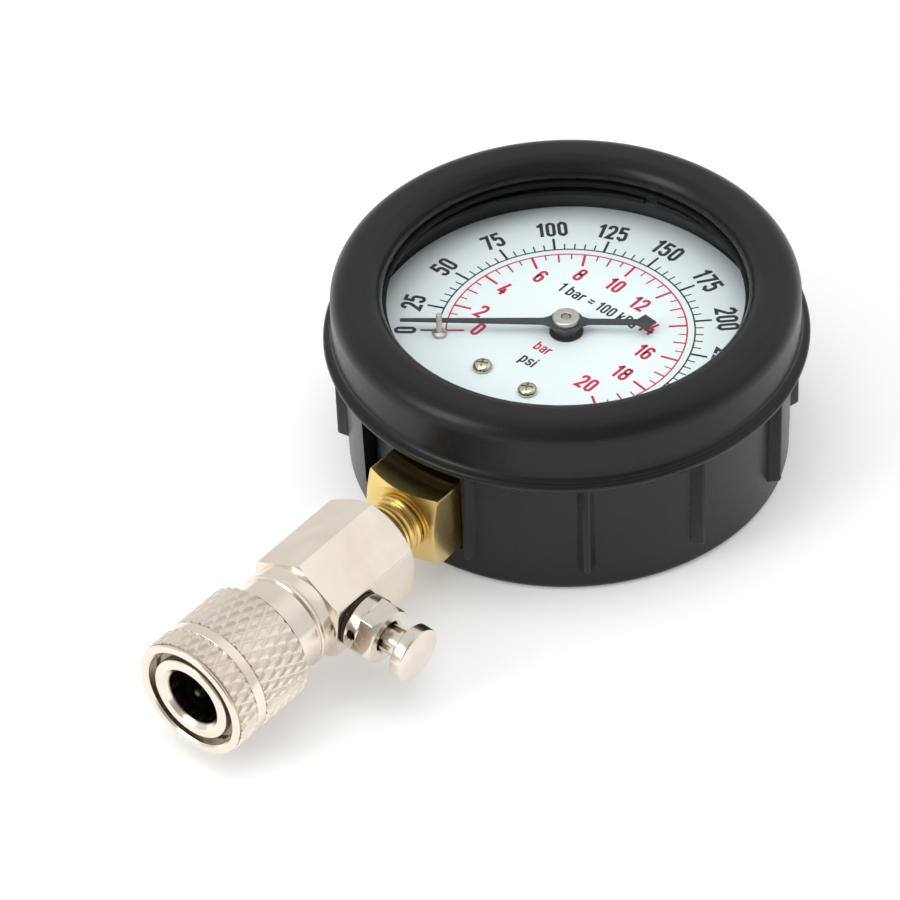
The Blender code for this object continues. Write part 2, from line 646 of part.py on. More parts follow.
def make_boot(rubber):
    """Boot: cup, flange, thick upper ring and lip in one turned rubber piece."""
    shoulder_x = UPPER_RING_R - RING_SHOULDER
    shoulder_z = CREST_Z - RING_SHOULDER
    under = LIP_UNDER_ROUND
    fillet = RING_FILLET
    nose = (FLANGE_THICKNESS - FLANGE_FLAT) / 2
    profile = [(0.0, BOOT_FLOOR), (CUP_INNER_R, BOOT_FLOOR), (CUP_INNER_R, LEDGE_Z)]
    profile += [(POCKET_R, LEDGE_Z), (POCKET_R, LIP_Z)]
    profile += arc(OPENING_R + under, LIP_Z + under, under, 270, 180, 2)
    profile += arc(OPENING_R + LIP_ROUND, CREST_Z - LIP_ROUND, LIP_ROUND, 180, 94, 4)
    profile += arc(shoulder_x, shoulder_z, RING_SHOULDER, 90, 0, 5)
    profile += arc(UPPER_RING_R + fillet, FLANGE_TOP_Z + fillet, fillet, 180, 262, 2)
    profile += arc(FLANGE_R - nose, FLANGE_TOP_Z - nose, nose, 80, -60, 3)
    profile += [(FLANGE_R - nose, FLANGE_BOTTOM_Z), (CUP_R, FLANGE_BOTTOM_Z)]
    base_x = CUP_R - BOOT_DRAFT - BOOT_BOTTOM_ROUND
    profile += arc(base_x, BOOT_BOTTOM_ROUND, BOOT_BOTTOM_ROUND, 0, -90, 3)
    profile += [(0.0, 0.0)]
    boot = turned("rubber_boot", profile, rubber, steps=48, closed=False)
    block_side = BLOCK_WIDTH / 2 + SEAT_GAP
    slot_left = block_side + SLOT_SIDE_ROOM
    slot_low = AXIS_Z - BLOCK_HEIGHT / 2 - SLOT_BELOW_BLOCK
    slot_back = math.sqrt(CUP_INNER_R ** 2 - slot_left ** 2) - RUN_PAST
    slot = box(
        "boot_slot",
        (-slot_left, -FLANGE_R - RIB_HEIGHT, slot_low),
        (block_side, -slot_back, LEDGE_Z - SLOT_TO_LEDGE),
    )
    for index in range(RIB_COUNT):
        angle = RIB_START + index * 2 * math.pi / RIB_COUNT
        beside = CUP_R * math.cos(angle)
        in_slot = math.sin(angle) < 0 and -slot_left < beside < block_side
        if in_slot:
            continue
        rib = box(
            f"boot_rib_{index}",
            (CUP_R - BOOT_DRAFT - RUN_PAST, -RIB_WIDTH / 2, RIB_FOOT),
            (CUP_R + RIB_HEIGHT, RIB_WIDTH / 2, FLANGE_BOTTOM_Z + FLANGE_FLAT),
        )
        rib.rotation_euler = (0.0, 0.0, angle)
        add(boot, rib)
    return cut(boot, slot)


def make_case(steel, black, rubber, clear):
    """Pressed case, bezel, window and the ring that carries the window."""
    inner_r = CASE_R - CASE_WALL
    floor_top = CASE_FLOOR_Z + CASE_WALL
    corner = CASE_CORNER
    profile = [(0.0, floor_top)]
    inside = corner - CASE_WALL
    profile += arc(inner_r - inside, floor_top + inside, inside, -90, 0, 2)
    profile += [(inner_r, CASE_RIM_Z), (CASE_R, CASE_RIM_Z)]
    profile += arc(CASE_R - corner, CASE_FLOOR_Z + corner, corner, 0, -90, 2)
    profile += [(0.0, CASE_FLOOR_Z)]
    case = turned("gauge_case", profile, steel, steps=44, closed=False)
    half_width = BLOCK_WIDTH / 2 + SEAT_GAP
    half_height = BLOCK_HEIGHT / 2 + SEAT_GAP
    wall_at_side = math.sqrt(inner_r ** 2 - half_width ** 2)
    cut(case, box(
        "case_window_for_block",
        (-half_width, -CASE_R - RUN_PAST, AXIS_Z - half_height),
        (half_width, RUN_PAST - wall_at_side, AXIS_Z + half_height),
    ))
    for index, y in enumerate(CASE_SCREW_Y):
        sink = turned_rod(
            f"case_screw_sink_{index}",
            [
                (CASE_SCREW_R + FINE_GAP, CASE_FLOOR_Z + 2 * CASE_WALL),
                (CASE_SCREW_R + FINE_GAP, CASE_FLOOR_Z + CASE_WALL),
                (CASE_SCREW_R + FINE_GAP + CASE_WALL, CASE_FLOOR_Z),
                (CASE_SCREW_R + FINE_GAP + CASE_WALL, CASE_FLOOR_Z - CASE_WALL),
            ],
        )
        sink.location = (0.0, y, 0.0)
        cut(case, sink)
    relief = cylinder("relief_hole", PLUG_R + FINE_GAP, 0.0, floor_top + CASE_WALL)
    relief.location = (*RELIEF_PLACE, 0.0)
    cut(case, relief)

    bezel = [(BEZEL_INNER_R, BEZEL_BOTTOM_Z), (BEZEL_INNER_R, BEZEL_LIP_Z)]
    bezel += [(BEZEL_EDGE_R, BEZEL_LIP_Z), (BEZEL_EDGE_R, BEZEL_TOP_Z)]
    bezel += arc(BEZEL_R - BEZEL_LIP_THICKNESS, BEZEL_LIP_Z, BEZEL_LIP_THICKNESS, 90, 0, 2)
    bezel += [(BEZEL_R, BEZEL_BOTTOM_Z)]
    turned("bezel_ring", bezel, black, steps=44)
    window_top = WINDOW_Z + WINDOW_THICKNESS
    turned_rod("window", [(WINDOW_R, window_top), (WINDOW_R, WINDOW_Z)], clear, steps=44)
    ring_top = RING_Z + RING_THICKNESS
    ring = turned_ring("window_ring", RING_R - RING_WIDTH, RING_R, RING_Z, ring_top, rubber, steps=44)
    notch = box(
        "ring_notch",
        (RING_R - RING_WIDTH - RUN_PAST, -RING_NOTCH / 2, RING_Z - RUN_PAST),
        (RING_R - RING_WIDTH + RING_NOTCH_DEPTH, RING_NOTCH / 2, ring_top + RUN_PAST),
    )
    notch.rotation_euler = (0.0, 0.0, RING_NOTCH_ANGLE)
    cut(ring, notch)


def make_case_fittings(steel, rubber):
    """Two countersunk screws into the socket and the rubber relief plug."""
    screw_low = CASE_FLOOR_Z + FLUSH_STEP
    for index, y in enumerate(CASE_SCREW_Y):
        screw = turned_rod(
            f"case_screw_{index + 1}",
            [
                (CASE_SCREW_R, BAR_BOTTOM_Z + CASE_SCREW_LENGTH - CASE_WALL),
                (CASE_SCREW_R, CASE_FLOOR_Z + CASE_WALL),
                (CASE_SCREW_R + CASE_WALL - FLUSH_STEP, screw_low),
            ],
            steel, steps=16,
        )
        screw.location = (0.0, y, 0.0)
        slot = box(
            f"case_screw_slot_{index}",
            (-CASE_SCREW_R * 2, -CASE_SLOT_WIDTH / 2, screw_low - RUN_PAST),
            (CASE_SCREW_R * 2, CASE_SLOT_WIDTH / 2, screw_low + SCREW_SLOT_DEPTH),
        )
        slot.location = (0.0, y, 0.0)
        cut(screw, slot)
    flange_z = CASE_FLOOR_Z + CASE_WALL + FINE_GAP
    plug = turned_rod(
        "relief_plug",
        [
            (PLUG_FLANGE_R, flange_z + PLUG_FLANGE_THICKNESS), (PLUG_FLANGE_R, flange_z),
            (PLUG_R, flange_z), (PLUG_R, CASE_FLOOR_Z + FLUSH_STEP),
        ],
        rubber,
    )
    plug.location = (*RELIEF_PLACE, 0.0)


def make_socket(brass, stem_axis):
    """Socket: square block with a turned front, threaded neck, inner bar and tongue."""
    block_back = CASE_R - BLOCK_ROOT
    reach = (math.hypot(BLOCK_WIDTH, BLOCK_HEIGHT) / 2 - BLOCK_CONE_R) * math.tan(BLOCK_CONE_SLOPE)
    cone_end_r = BLOCK_CONE_R + 2 * reach / math.tan(BLOCK_CONE_SLOPE)
    socket = turned_rod(
        "socket_block",
        [
            (BLOCK_CONE_R, BLOCK_FRONT), (cone_end_r, BLOCK_FRONT - 2 * reach),
            (cone_end_r, block_back),
        ],
        brass, stem_axis, steps=40,
    )
    square = box(
        "block_square",
        (-BLOCK_WIDTH / 2, -BLOCK_HEIGHT / 2, block_back - RUN_PAST),
        (BLOCK_WIDTH / 2, BLOCK_HEIGHT / 2, BLOCK_FRONT + RUN_PAST),
        parent=stem_axis,
    )
    combine(socket, square, "INTERSECT")
    relief_end = BLOCK_FRONT + NECK_RELIEF
    relief_r = NECK_R - NECK_RELIEF_DEPTH
    neck = turned_rod(
        "block_neck",
        [
            (NECK_R - NECK_CHAMFER, NECK_END), (NECK_R, NECK_END - NECK_CHAMFER),
            (NECK_R, relief_end + NECK_RELIEF_DEPTH), (relief_r, relief_end),
            (relief_r, BLOCK_FRONT - RUN_PAST),
        ],
        parent=stem_axis, steps=28,
    )
    add(socket, neck)
    bar_low = BAR_BOTTOM_Z - AXIS_Z
    bar_top = bar_low + BAR_HEIGHT
    bar_reach = math.sqrt((CASE_R - CASE_WALL) ** 2 - (BAR_WIDTH / 2) ** 2) - SEAT_GAP
    bar_profile = [
        (bar_low, bar_reach), (bar_low, TONGUE_END), (bar_low + TONGUE_THICKNESS, TONGUE_END),
        (bar_low + TONGUE_THICKNESS, BAR_END), (bar_top, BAR_END), (bar_top, bar_reach),
    ]
    bar = flat_plate("socket_bar", [bar_profile], -BAR_WIDTH / 2, BAR_WIDTH / 2)
    bar.data.transform(Matrix(((0, 0, 1, 0), (1, 0, 0, 0), (0, 1, 0, 0), (0, 0, 0, 1))))
    bar.parent = stem_axis
    add(socket, bar)
    passage = cylinder(
        "socket_passage", PASSAGE_R, PASSAGE_END, NECK_END + RUN_PAST, parent=stem_axis, steps=16,
    )
    cut(socket, passage)
    for index, y in enumerate(CASE_SCREW_Y):
        hole = cylinder(
            f"case_screw_hole_{index}", CASE_SCREW_R + FINE_GAP, BAR_BOTTOM_Z - RUN_PAST,
            BAR_BOTTOM_Z + CASE_SCREW_LENGTH, steps=12,
        )
        hole.location = (0.0, y, 0.0)
        cut(socket, hole)
    for index, spot in enumerate(MOVEMENT_SCREWS):
        hole = cylinder(
            f"movement_screw_hole_{index}", SCREW_R + FINE_GAP, TONGUE_TOP_Z - TAPPED_DEPTH,
            TONGUE_TOP_Z + RUN_PAST, steps=12,
        )
        hole.location = (*spot, 0.0)
        cut(socket, hole)
    pocket_half_height = TUBE_HALF_WIDTH + SEAT_GAP
    pocket = box(
        "tube_pocket",
        (-BAR_WIDTH / 2 - RUN_PAST, -TUBE_ROOT_Y - TUBE_POCKET_HALF, AXIS_Z - pocket_half_height),
        (-BAR_WIDTH / 2 + TUBE_POCKET_DEPTH, -TUBE_ROOT_Y + TUBE_POCKET_HALF,
         AXIS_Z + pocket_half_height),
    )
    cut(socket, pocket)
    cross_end = BAR_WIDTH / 2 - TUBE_POCKET_DEPTH + RUN_PAST
    cross = cylinder("cross_passage", CROSS_PASSAGE_R, -PASSAGE_R / 2, cross_end, steps=12)
    cross.location = (0.0, -PASSAGE_END - CROSS_PASSAGE_R, AXIS_Z)
    cross.rotation_euler = (0.0, math.radians(-90.0), 0.0)
    cut(socket, cross)
    return socket


def make_tube(bronze, brass, steel):
    """Flattened Bourdon tube, its tip piece and the tip's pin."""
    end = TUBE_END_ANGLE - 2 * math.pi
    count = 26
    points = []
    for index in range(count + 1):
        spot = polar(TUBE_R, TUBE_ROOT_ANGLE + (end - TUBE_ROOT_ANGLE) * index / count)
        points.append((spot.x, spot.y, 0.0))
    flatten = TUBE_HALF_WIDTH / TUBE_HALF_THICKNESS
    tube = wire(
        "bourdon_tube", points, TUBE_HALF_THICKNESS, bronze, caps=False, scale=(1.0, 1.0, flatten),
    )
    tube.location = (0.0, 0.0, AXIS_Z)
    wall = tube.modifiers.new("wall", "SOLIDIFY")
    wall.thickness = TUBE_WALL
    wall.offset = -1.0

    end_angle = TUBE_END_ANGLE - (SEAT_GAP + TIP_LENGTH / 2) / TUBE_R
    block = box(
        "tube_tip_block",
        (TUBE_R - TUBE_HALF_THICKNESS, -TIP_LENGTH / 2, AXIS_Z - TUBE_HALF_WIDTH),
        (TUBE_R + TUBE_HALF_THICKNESS + TIP_LIP, TIP_LENGTH / 2, AXIS_Z + TUBE_HALF_WIDTH),
    )
    block.rotation_euler = (0.0, 0.0, end_angle)
    block.location = (-TIP_PIN.x, -TIP_PIN.y, 0.0)
    ear = hull([((0.0, 0.0), LINK_END_R), (polar(TUBE_R, end_angle) - TIP_PIN, TIP_LENGTH / 2)], 16)
    ear_hole = circle((0, 0), PIN_R + FINE_GAP, 12)
    tip = flat_plate("tube_tip", [ear, ear_hole], SECTOR_Z, SECTOR_TOP_Z, brass)
    tip.location = (*TIP_PIN, 0.0)
    block.parent = tip
    add(tip, block)
    headed_pin("tip_pin", TIP_PIN, steel)


def headed_pin(name, spot, steel):
    """Small pin through a plate and the link, its head over the link."""
    head_z = LINK_Z + LINK_THICKNESS + FINE_GAP
    head_r = PIN_R + PIN_HEAD_STEP
    pin = turned_rod(
        name,
        [
            (head_r, head_z + PIN_HEAD_HEIGHT), (head_r, head_z), (PIN_R, head_z),
            (PIN_R, SECTOR_Z),
        ],
        steel, steps=12,
    )
    pin.location = (*spot, 0.0)


def make_sector(brass, steel):
    """Sector gear with its tail, its shaft and the link with its pin."""
    last = math.ceil(SECTOR_SWING / (2 * math.pi / SECTOR_TEETH)) + 2
    pitch = 2 * math.pi / SECTOR_TEETH
    web_r = SECTOR_HUB_R * 0.8
    half_spread = last * pitch / 2 + HUB_FLARE
    outline = [polar(web_r, SECTOR_FACING - half_spread)]
    for index in range(last, -3, -1):
        outline += tooth(SECTOR_FACING - index * pitch, SECTOR_TEETH, 2)
    outline.append(polar(web_r, SECTOR_FACING - last * pitch / 2 + HUB_FLARE))
    rim_r = MODULE * SECTOR_TEETH / 2 - SECTOR_RIM
    low = SECTOR_FACING - last * pitch + SECTOR_SPOKE
    high = SECTOR_FACING + 2 * pitch - SECTOR_SPOKE
    opening = arc(0.0, 0.0, rim_r, math.degrees(low), math.degrees(high), 6)
    opening += arc(0.0, 0.0, SECTOR_HUB_R + SECTOR_RIM, math.degrees(high), math.degrees(low), 3)
    sector = flat_plate("sector_gear", [outline, opening], SECTOR_Z, SECTOR_TOP_Z, brass)
    sector.location = (*SECTOR_PIVOT, 0.0)
    tail_end = LINK_PIN - SECTOR_PIVOT
    tail_outline = hull([((0, 0), web_r), (tail_end, LINK_END_R)], 16)
    tail = flat_plate(
        "sector_tail", [tail_outline], SECTOR_Z + TAIL_INSET, SECTOR_TOP_Z - TAIL_INSET,
    )
    tail.location = (*SECTOR_PIVOT, 0.0)
    hub_low = BACK_PLATE_TOP_Z + SEAT_GAP
    hub = cylinder("sector_hub", SECTOR_HUB_R, hub_low, FRONT_PLATE_Z - SEAT_GAP)
    hub.location = (*SECTOR_PIVOT, 0.0)
    bore = cylinder("sector_bore", SHAFT_R + RUN_GAP, BACK_PLATE_Z, FRONT_PLATE_TOP_Z)
    bore.location = (*SECTOR_PIVOT, 0.0)
    pin_hole = cylinder(
        "tail_pin_hole", PIN_R + FINE_GAP, SECTOR_Z - RUN_PAST, SECTOR_TOP_Z + RUN_PAST, steps=12,
    )
    pin_hole.location = (*LINK_PIN, 0.0)
    add(sector, tail)
    add(sector, hub)
    cut(sector, bore)
    cut(sector, pin_hole)
    shaft = turned_rod(
        "sector_shaft",
        [
            (PIVOT_R, FRONT_PLATE_TOP_Z), (PIVOT_R, FRONT_PLATE_Z - FINE_GAP),
            (SHAFT_R, FRONT_PLATE_Z - FINE_GAP), (SHAFT_R, BACK_PLATE_TOP_Z + FINE_GAP),
            (PIVOT_R, BACK_PLATE_TOP_Z + FINE_GAP), (PIVOT_R, BACK_PLATE_Z + FINE_GAP),
        ],
        steel, steps=16,
    )
    shaft.location = (*SECTOR_PIVOT, 0.0)
    headed_pin("link_pin", LINK_PIN, steel)
    across = TIP_PIN - LINK_PIN
    link = flat_plate(
        "link",
        [
            hull([((0, 0), LINK_END_R), (across, LINK_END_R)], 16),
            circle((0, 0), PIN_R + RUN_GAP, 12),
            circle(across, PIN_R + OPEN_PIVOT_GAP, 12),
        ],
        LINK_Z, LINK_Z + LINK_THICKNESS, brass,
    )
    link.location = (*LINK_PIN, 0.0)
    return sector


def make_movement(brass, steel):
    """Plates, pillars, screws and dial posts of the movement."""
    posts = dial_screw_places()
    bearings = [
        ((0.0, 0.0), PIVOT_R + RUN_GAP, SHAFT_R + RUN_GAP),
        (tuple(SECTOR_PIVOT), PIVOT_R + RUN_GAP, PIVOT_R + RUN_GAP),
    ]
    corners = ((0.0, 0.0), SECTOR_PIVOT, *PILLARS)
    back_circles = [(spot, PLATE_MARGIN) for spot in corners]
    back_circles += [(spot, SCREW_ROOM) for spot in MOVEMENT_SCREWS]
    back_holes = [circle(spot, radius, 16) for spot, radius, _ in bearings]
    back_holes += [circle(spot, SCREW_R + FINE_GAP, 12) for spot in MOVEMENT_SCREWS]
    back_loops = [hull(back_circles, 20)] + back_holes
    flat_plate("movement_back_plate", back_loops, BACK_PLATE_Z, BACK_PLATE_TOP_Z, brass)
    front_circles = [(spot, PLATE_MARGIN) for spot in corners]
    front_circles += [(spot, PLATE_MARGIN * 0.8) for spot in posts]
    front_holes = [circle(spot, radius, 16) for spot, _, radius in bearings]
    front_holes += [circle(spot, SCREW_R + FINE_GAP, 12) for spot in PILLARS]
    front_loops = [hull(front_circles, 20)] + front_holes
    flat_plate("movement_front_plate", front_loops, FRONT_PLATE_Z, FRONT_PLATE_TOP_Z, brass)
    for index, spot in enumerate(PILLARS):
        pillar = cylinder(
            f"movement_pillar_{index + 1}", PILLAR_R, BACK_PLATE_TOP_Z + FINE_GAP,
            FRONT_PLATE_Z - FINE_GAP, brass, steps=16,
        )
        pillar.location = (*spot, 0.0)
        tapped_hole(pillar, spot, FRONT_PLATE_Z)
        length = PLATE_THICKNESS + PLATE_SCREW_GRIP
        slotted_screw(f"plate_screw_{index + 1}", spot, FRONT_PLATE_TOP_Z, length, steel)
    for index, spot in enumerate(MOVEMENT_SCREWS):
        length = PLATE_THICKNESS + MOVEMENT_SCREW_GRIP
        slotted_screw(f"movement_screw_{index + 1}", spot, BACK_PLATE_TOP_Z, length, steel)
    for side, spot in zip(("left", "right"), posts):
        post_z = FRONT_PLATE_TOP_Z + FINE_GAP
        post = turned_rod(
            f"dial_post_{side}", [(POST_R, post_z + POST_HEIGHT), (POST_R, post_z)], brass, steps=20,
        )
        post.location = (*spot, 0.0)
        tapped_hole(post, spot, DIAL_Z)


def tapped_hole(obj, spot, mouth_z):
    """Blind hole for a small screw, open at the top of a pillar or post."""
    bottom = mouth_z - TAPPED_DEPTH
    hole = cylinder(obj.name + "_hole", SCREW_R + FINE_GAP, bottom, mouth_z + RUN_PAST, steps=12)
    hole.location = (*spot, 0.0)
    cut(obj, hole)


def slotted_screw(name, spot, seat_z, length, steel):
    """Cheese-head screw with a straight slot, seated on a face."""
    low = seat_z + FINE_GAP
    screw = turned_rod(
        name,
        [
            (SCREW_HEAD_R, low + SCREW_HEAD_HEIGHT), (SCREW_HEAD_R, low),
            (SCREW_R, low), (SCREW_R, seat_z - length),
        ],
        steel, steps=12,
    )
    screw.location = (*spot, 0.0)
    slot = box(
        name + "_slot",
        (-SCREW_HEAD_R * 2, -SCREW_SLOT_WIDTH / 2, low + SCREW_HEAD_HEIGHT - SCREW_SLOT_DEPTH),
        (SCREW_HEAD_R * 2, SCREW_SLOT_WIDTH / 2, low + SCREW_HEAD_HEIGHT + RUN_PAST),
    )
    slot.location = (*spot, 0.0)
    slot.rotation_euler = (0.0, 0.0, SCREW_SLOT_TURN)
    cut(screw, slot)


def dial_screw_places():
    """Left and right places of the dial's screws, either side of 6 o'clock."""
    down = FACE_TURN - math.pi / 2
    return [polar(DIAL_SCREW_RADIUS, down + side * DIAL_SCREW_SPREAD) for side in (-1, 1)]


def make_arbor(steel, brass, bronze):
    """Pinion on its shaft, with the hairspring, its collet and its stud."""
    toward_sector = math.atan2(SECTOR_PIVOT.y, SECTOR_PIVOT.x)
    step = 2 * math.pi / PINION_TEETH
    outline = []
    for index in range(PINION_TEETH):
        outline += tooth(toward_sector + (index + 0.5) * step, PINION_TEETH, 3)
    shaft_top = BUSH_Z + BUSH_HEIGHT - SHAFT_BELOW_BUSH
    pinion = turned_rod(
        "pinion_shaft",
        [
            (POINTER_SEAT_R, shaft_top), (POINTER_SEAT_R, POINTER_Z - FINE_GAP),
            (SHAFT_R, POINTER_Z - FINE_GAP), (SHAFT_R, BACK_PLATE_TOP_Z + FINE_GAP),
            (PIVOT_R, BACK_PLATE_TOP_Z + FINE_GAP), (PIVOT_R, BACK_PLATE_Z + FINE_GAP),
        ],
        steel, steps=16,
    )
    teeth = flat_plate(
        "pinion_teeth", [outline], SECTOR_Z - PINION_OVERLAP, SECTOR_TOP_Z + PINION_OVERLAP,
    )
    add(pinion, teeth)
    turned_ring(
        "hairspring_collet", SHAFT_R + FINE_GAP, SPRING_INNER_R - SPRING_STRIP - FINE_GAP,
        HAIRSPRING_Z - COLLET_OVERLAP, HAIRSPRING_Z + SPRING_STRIP_HEIGHT + COLLET_OVERLAP, brass,
        steps=20,
    )
    count = int(SPRING_TURNS * 12)
    outer = []
    inner = []
    for index in range(count + 1):
        share = index / count
        radius = SPRING_INNER_R + (SPRING_OUTER_R - SPRING_INNER_R) * share
        angle = 2 * math.pi * SPRING_TURNS * share
        outer.append(polar(radius, angle))
        inner.append(polar(radius - SPRING_STRIP, angle))
    strip = outer + inner[::-1]
    flat_plate("hairspring", [strip], HAIRSPRING_Z, HAIRSPRING_Z + SPRING_STRIP_HEIGHT, bronze)
    stud_spot = polar(SPRING_OUTER_R + STUD_R + FINE_GAP, 2 * math.pi * SPRING_TURNS)
    stud = cylinder(
        "hairspring_stud", STUD_R, HAIRSPRING_Z - COLLET_OVERLAP, FRONT_PLATE_Z - FINE_GAP, brass,
        steps=16,
    )
    stud.location = (*stud_spot, 0.0)


def make_dial(white, steel, nickel, black):
    """Dial plate with its screws and stop pin, and the pointer with its boss and bush."""
    posts = dial_screw_places()
    pointer_angle = POINTER_REST + FACE_TURN
    pointer_share = STOP_RADIUS / POINTER_LENGTH
    pointer_width = POINTER_ROOT_WIDTH + (POINTER_TIP_WIDTH - POINTER_ROOT_WIDTH) * pointer_share
    side_step = pointer_width / 2 + STOP_PIN_R + SEAT_GAP
    stop_spot = polar(STOP_RADIUS, pointer_angle + side_step / STOP_RADIUS)
    holes = [circle((0, 0), DIAL_HOLE_R, 24)]
    holes += [circle(spot, SCREW_R + FINE_GAP + DIAL_SCREW_ROOM, 12) for spot in posts]
    holes.append(circle(stop_spot, STOP_PIN_R + FINE_GAP, 12))
    flat_plate("dial_plate", [circle((0, 0), DIAL_R, 52)] + holes, DIAL_Z, DIAL_TOP_Z, white)

    for side, spot in zip(("left", "right"), posts):
        low = DIAL_TOP_Z + FINE_GAP
        dome = [
            (DIAL_SCREW_HEAD_R * share, low + DIAL_SCREW_HEAD * height)
            for share, height in ((0.45, 1.0), (0.8, 0.85), (1.0, 0.35), (1.0, 0.0))
        ]
        shank = [(SCREW_R, low), (SCREW_R, DIAL_Z - DIAL_SCREW_LENGTH)]
        screw = turned_rod(f"dial_screw_{side}", dome + shank, steel, steps=16)
        screw.location = (*spot, 0.0)
        reach = DIAL_SCREW_HEAD_R * DIAL_SLOT_SHARE / 2
        for quarter in (0, 1):
            slot = box(
                f"dial_screw_{side}_slot_{quarter}",
                (-reach, -DIAL_SLOT_WIDTH / 2, low + DIAL_SCREW_HEAD / 2),
                (reach, DIAL_SLOT_WIDTH / 2, low + DIAL_SCREW_HEAD + RUN_PAST),
            )
            slot.location = (*spot, 0.0)
            slot.rotation_euler = (0.0, 0.0, DIAL_SLOT_TURN + quarter * math.pi / 2)
            cut(screw, slot)

    low = DIAL_TOP_Z + FINE_GAP
    stop_top = DIAL_TOP_Z + STOP_HEIGHT
    stop = turned_rod(
        "stop_pin",
        [
            (STOP_PIN_R * 0.8, stop_top), (STOP_PIN_R, stop_top - STOP_FOOT_EDGE),
            (STOP_PIN_R, low + STOP_FOOT_HEIGHT),
            (STOP_FOOT_R * 0.8, low + STOP_FOOT_HEIGHT - STOP_FOOT_EDGE),
            (STOP_FOOT_R, low + STOP_FOOT_EDGE), (STOP_FOOT_R, low),
            (STOP_PIN_R, low), (STOP_PIN_R, DIAL_Z - STOP_ROOT),
        ],
        nickel, steps=14,
    )
    stop.location = (*stop_spot, 0.0)

    root = POINTER_ROOT_WIDTH / 2
    tip = POINTER_TIP_WIDTH / 2
    tail = POINTER_TAIL_WIDTH / 2
    disc_r = POINTER_DISC_R
    diamond = POINTER_DIAMOND / 2
    front_join = math.degrees(math.asin(root / disc_r) + POINTER_JOIN)
    back_join = math.degrees(math.asin(tail / disc_r) + POINTER_JOIN)
    neck = disc_r + POINTER_NECK
    outline = [(POINTER_LENGTH, -tip), (POINTER_LENGTH, tip), (neck, root)]
    outline += arc(0, 0, disc_r, front_join, 180 - back_join, 8)
    waist = -POINTER_TAIL + 1.7 * diamond
    outline += [(-neck, tail), (waist, tail), (-POINTER_TAIL + diamond, diamond)]
    outline += [(-POINTER_TAIL, 0.0)]
    outline += [(-POINTER_TAIL + diamond, -diamond), (waist, -tail), (-neck, -tail)]
    outline += arc(0, 0, disc_r, 180 + back_join, 360 - front_join, 8)
    outline += [(neck, -root)]
    pointer_hole = circle((0, 0), SHAFT_R + FINE_GAP, 16)
    pointer_top = POINTER_Z + POINTER_THICKNESS
    pointer = flat_plate("pointer", [outline, pointer_hole], POINTER_Z, pointer_top, black)
    pointer.rotation_euler = (0.0, 0.0, pointer_angle)
    boss_top = BOSS_Z + BOSS_HEIGHT
    turned_ring("pointer_boss", SHAFT_R + FINE_GAP, BOSS_R, BOSS_Z, boss_top, black, steps=20)
    hole_r = POINTER_SEAT_R + FINE_GAP
    bush_top = BUSH_Z + BUSH_HEIGHT
    turned(
        "pointer_bush",
        [
            (BUSH_R - BUSH_CHAMFER, bush_top), (BUSH_R, bush_top - BUSH_CHAMFER), (BUSH_R, BUSH_Z),
            (hole_r, BUSH_Z), (hole_r, bush_top),
        ],
        nickel, steps=20,
    )


def make_adapter(nickel, fibre, adapter_axis, valve_axis):
    """Hexagon adapter with its collar, the socket's port and the valve's port."""
    corner_r = HEX_FLATS / math.sqrt(3)
    start_r = HEX_FLATS / 2 - HEX_FACE_STEP
    end_r = corner_r - 2 * HEX_END_CHAMFER
    adapter = turned_rod(
        "adapter_body",
        [
            (end_r, HEX_END), (corner_r, HEX_END - HEX_END_CHAMFER),
            (corner_r, HEX_START + HEX_START_CHAMFER), (start_r, HEX_START),
        ],
        nickel, adapter_axis, steps=36,
    )
    prism = cylinder(
        "adapter_prism", corner_r, HEX_START - RUN_PAST, HEX_END + RUN_PAST, parent=adapter_axis,
        steps=6,
    )
    combine(adapter, prism, "INTERSECT")
    collar = cylinder(
        "adapter_collar", COLLAR_R, HEX_END - RUN_PAST, COLLAR_END, parent=adapter_axis, steps=36,
    )
    add(adapter, collar)
    port_r = NECK_R + THREAD_GAP
    port_end = HEX_START + PORT_DEPTH
    coupler_port = COLLAR_END - COUPLER_PORT_DEPTH
    bore = turned_rod(
        "adapter_bore",
        [
            (COUPLER_PORT_R, COLLAR_END + RUN_PAST), (COUPLER_PORT_R, coupler_port),
            (BLEED_PASSAGE_R, coupler_port), (BLEED_PASSAGE_R, port_end),
            (port_r, port_end), (port_r, HEX_START - RUN_PAST),
        ],
        parent=adapter_axis, steps=28,
    )
    cut(adapter, bore)
    flat = HEX_FLATS / 2
    port_bottom = flat - VALVE_THREAD_DEPTH - VALVE_PORT_ROOM
    port = turned_rod(
        "bleed_port",
        [
            (VALVE_THREAD_R + THREAD_GAP, flat + RUN_PAST),
            (VALVE_THREAD_R + THREAD_GAP, port_bottom),
            (BLEED_PASSAGE_R, port_bottom), (BLEED_PASSAGE_R, 0.0),
        ],
        parent=valve_axis, steps=20,
    )
    cut(adapter, port)
    turned_ring(
        "seal_washer", BLEED_PASSAGE_R + WASHER_BORE_STEP, NECK_R - WASHER_INSET, NECK_END + FINE_GAP * 2,
        NECK_END + FINE_GAP * 2 + SEAL_THICKNESS, fibre, adapter_axis, steps=24,
    )
    return adapter


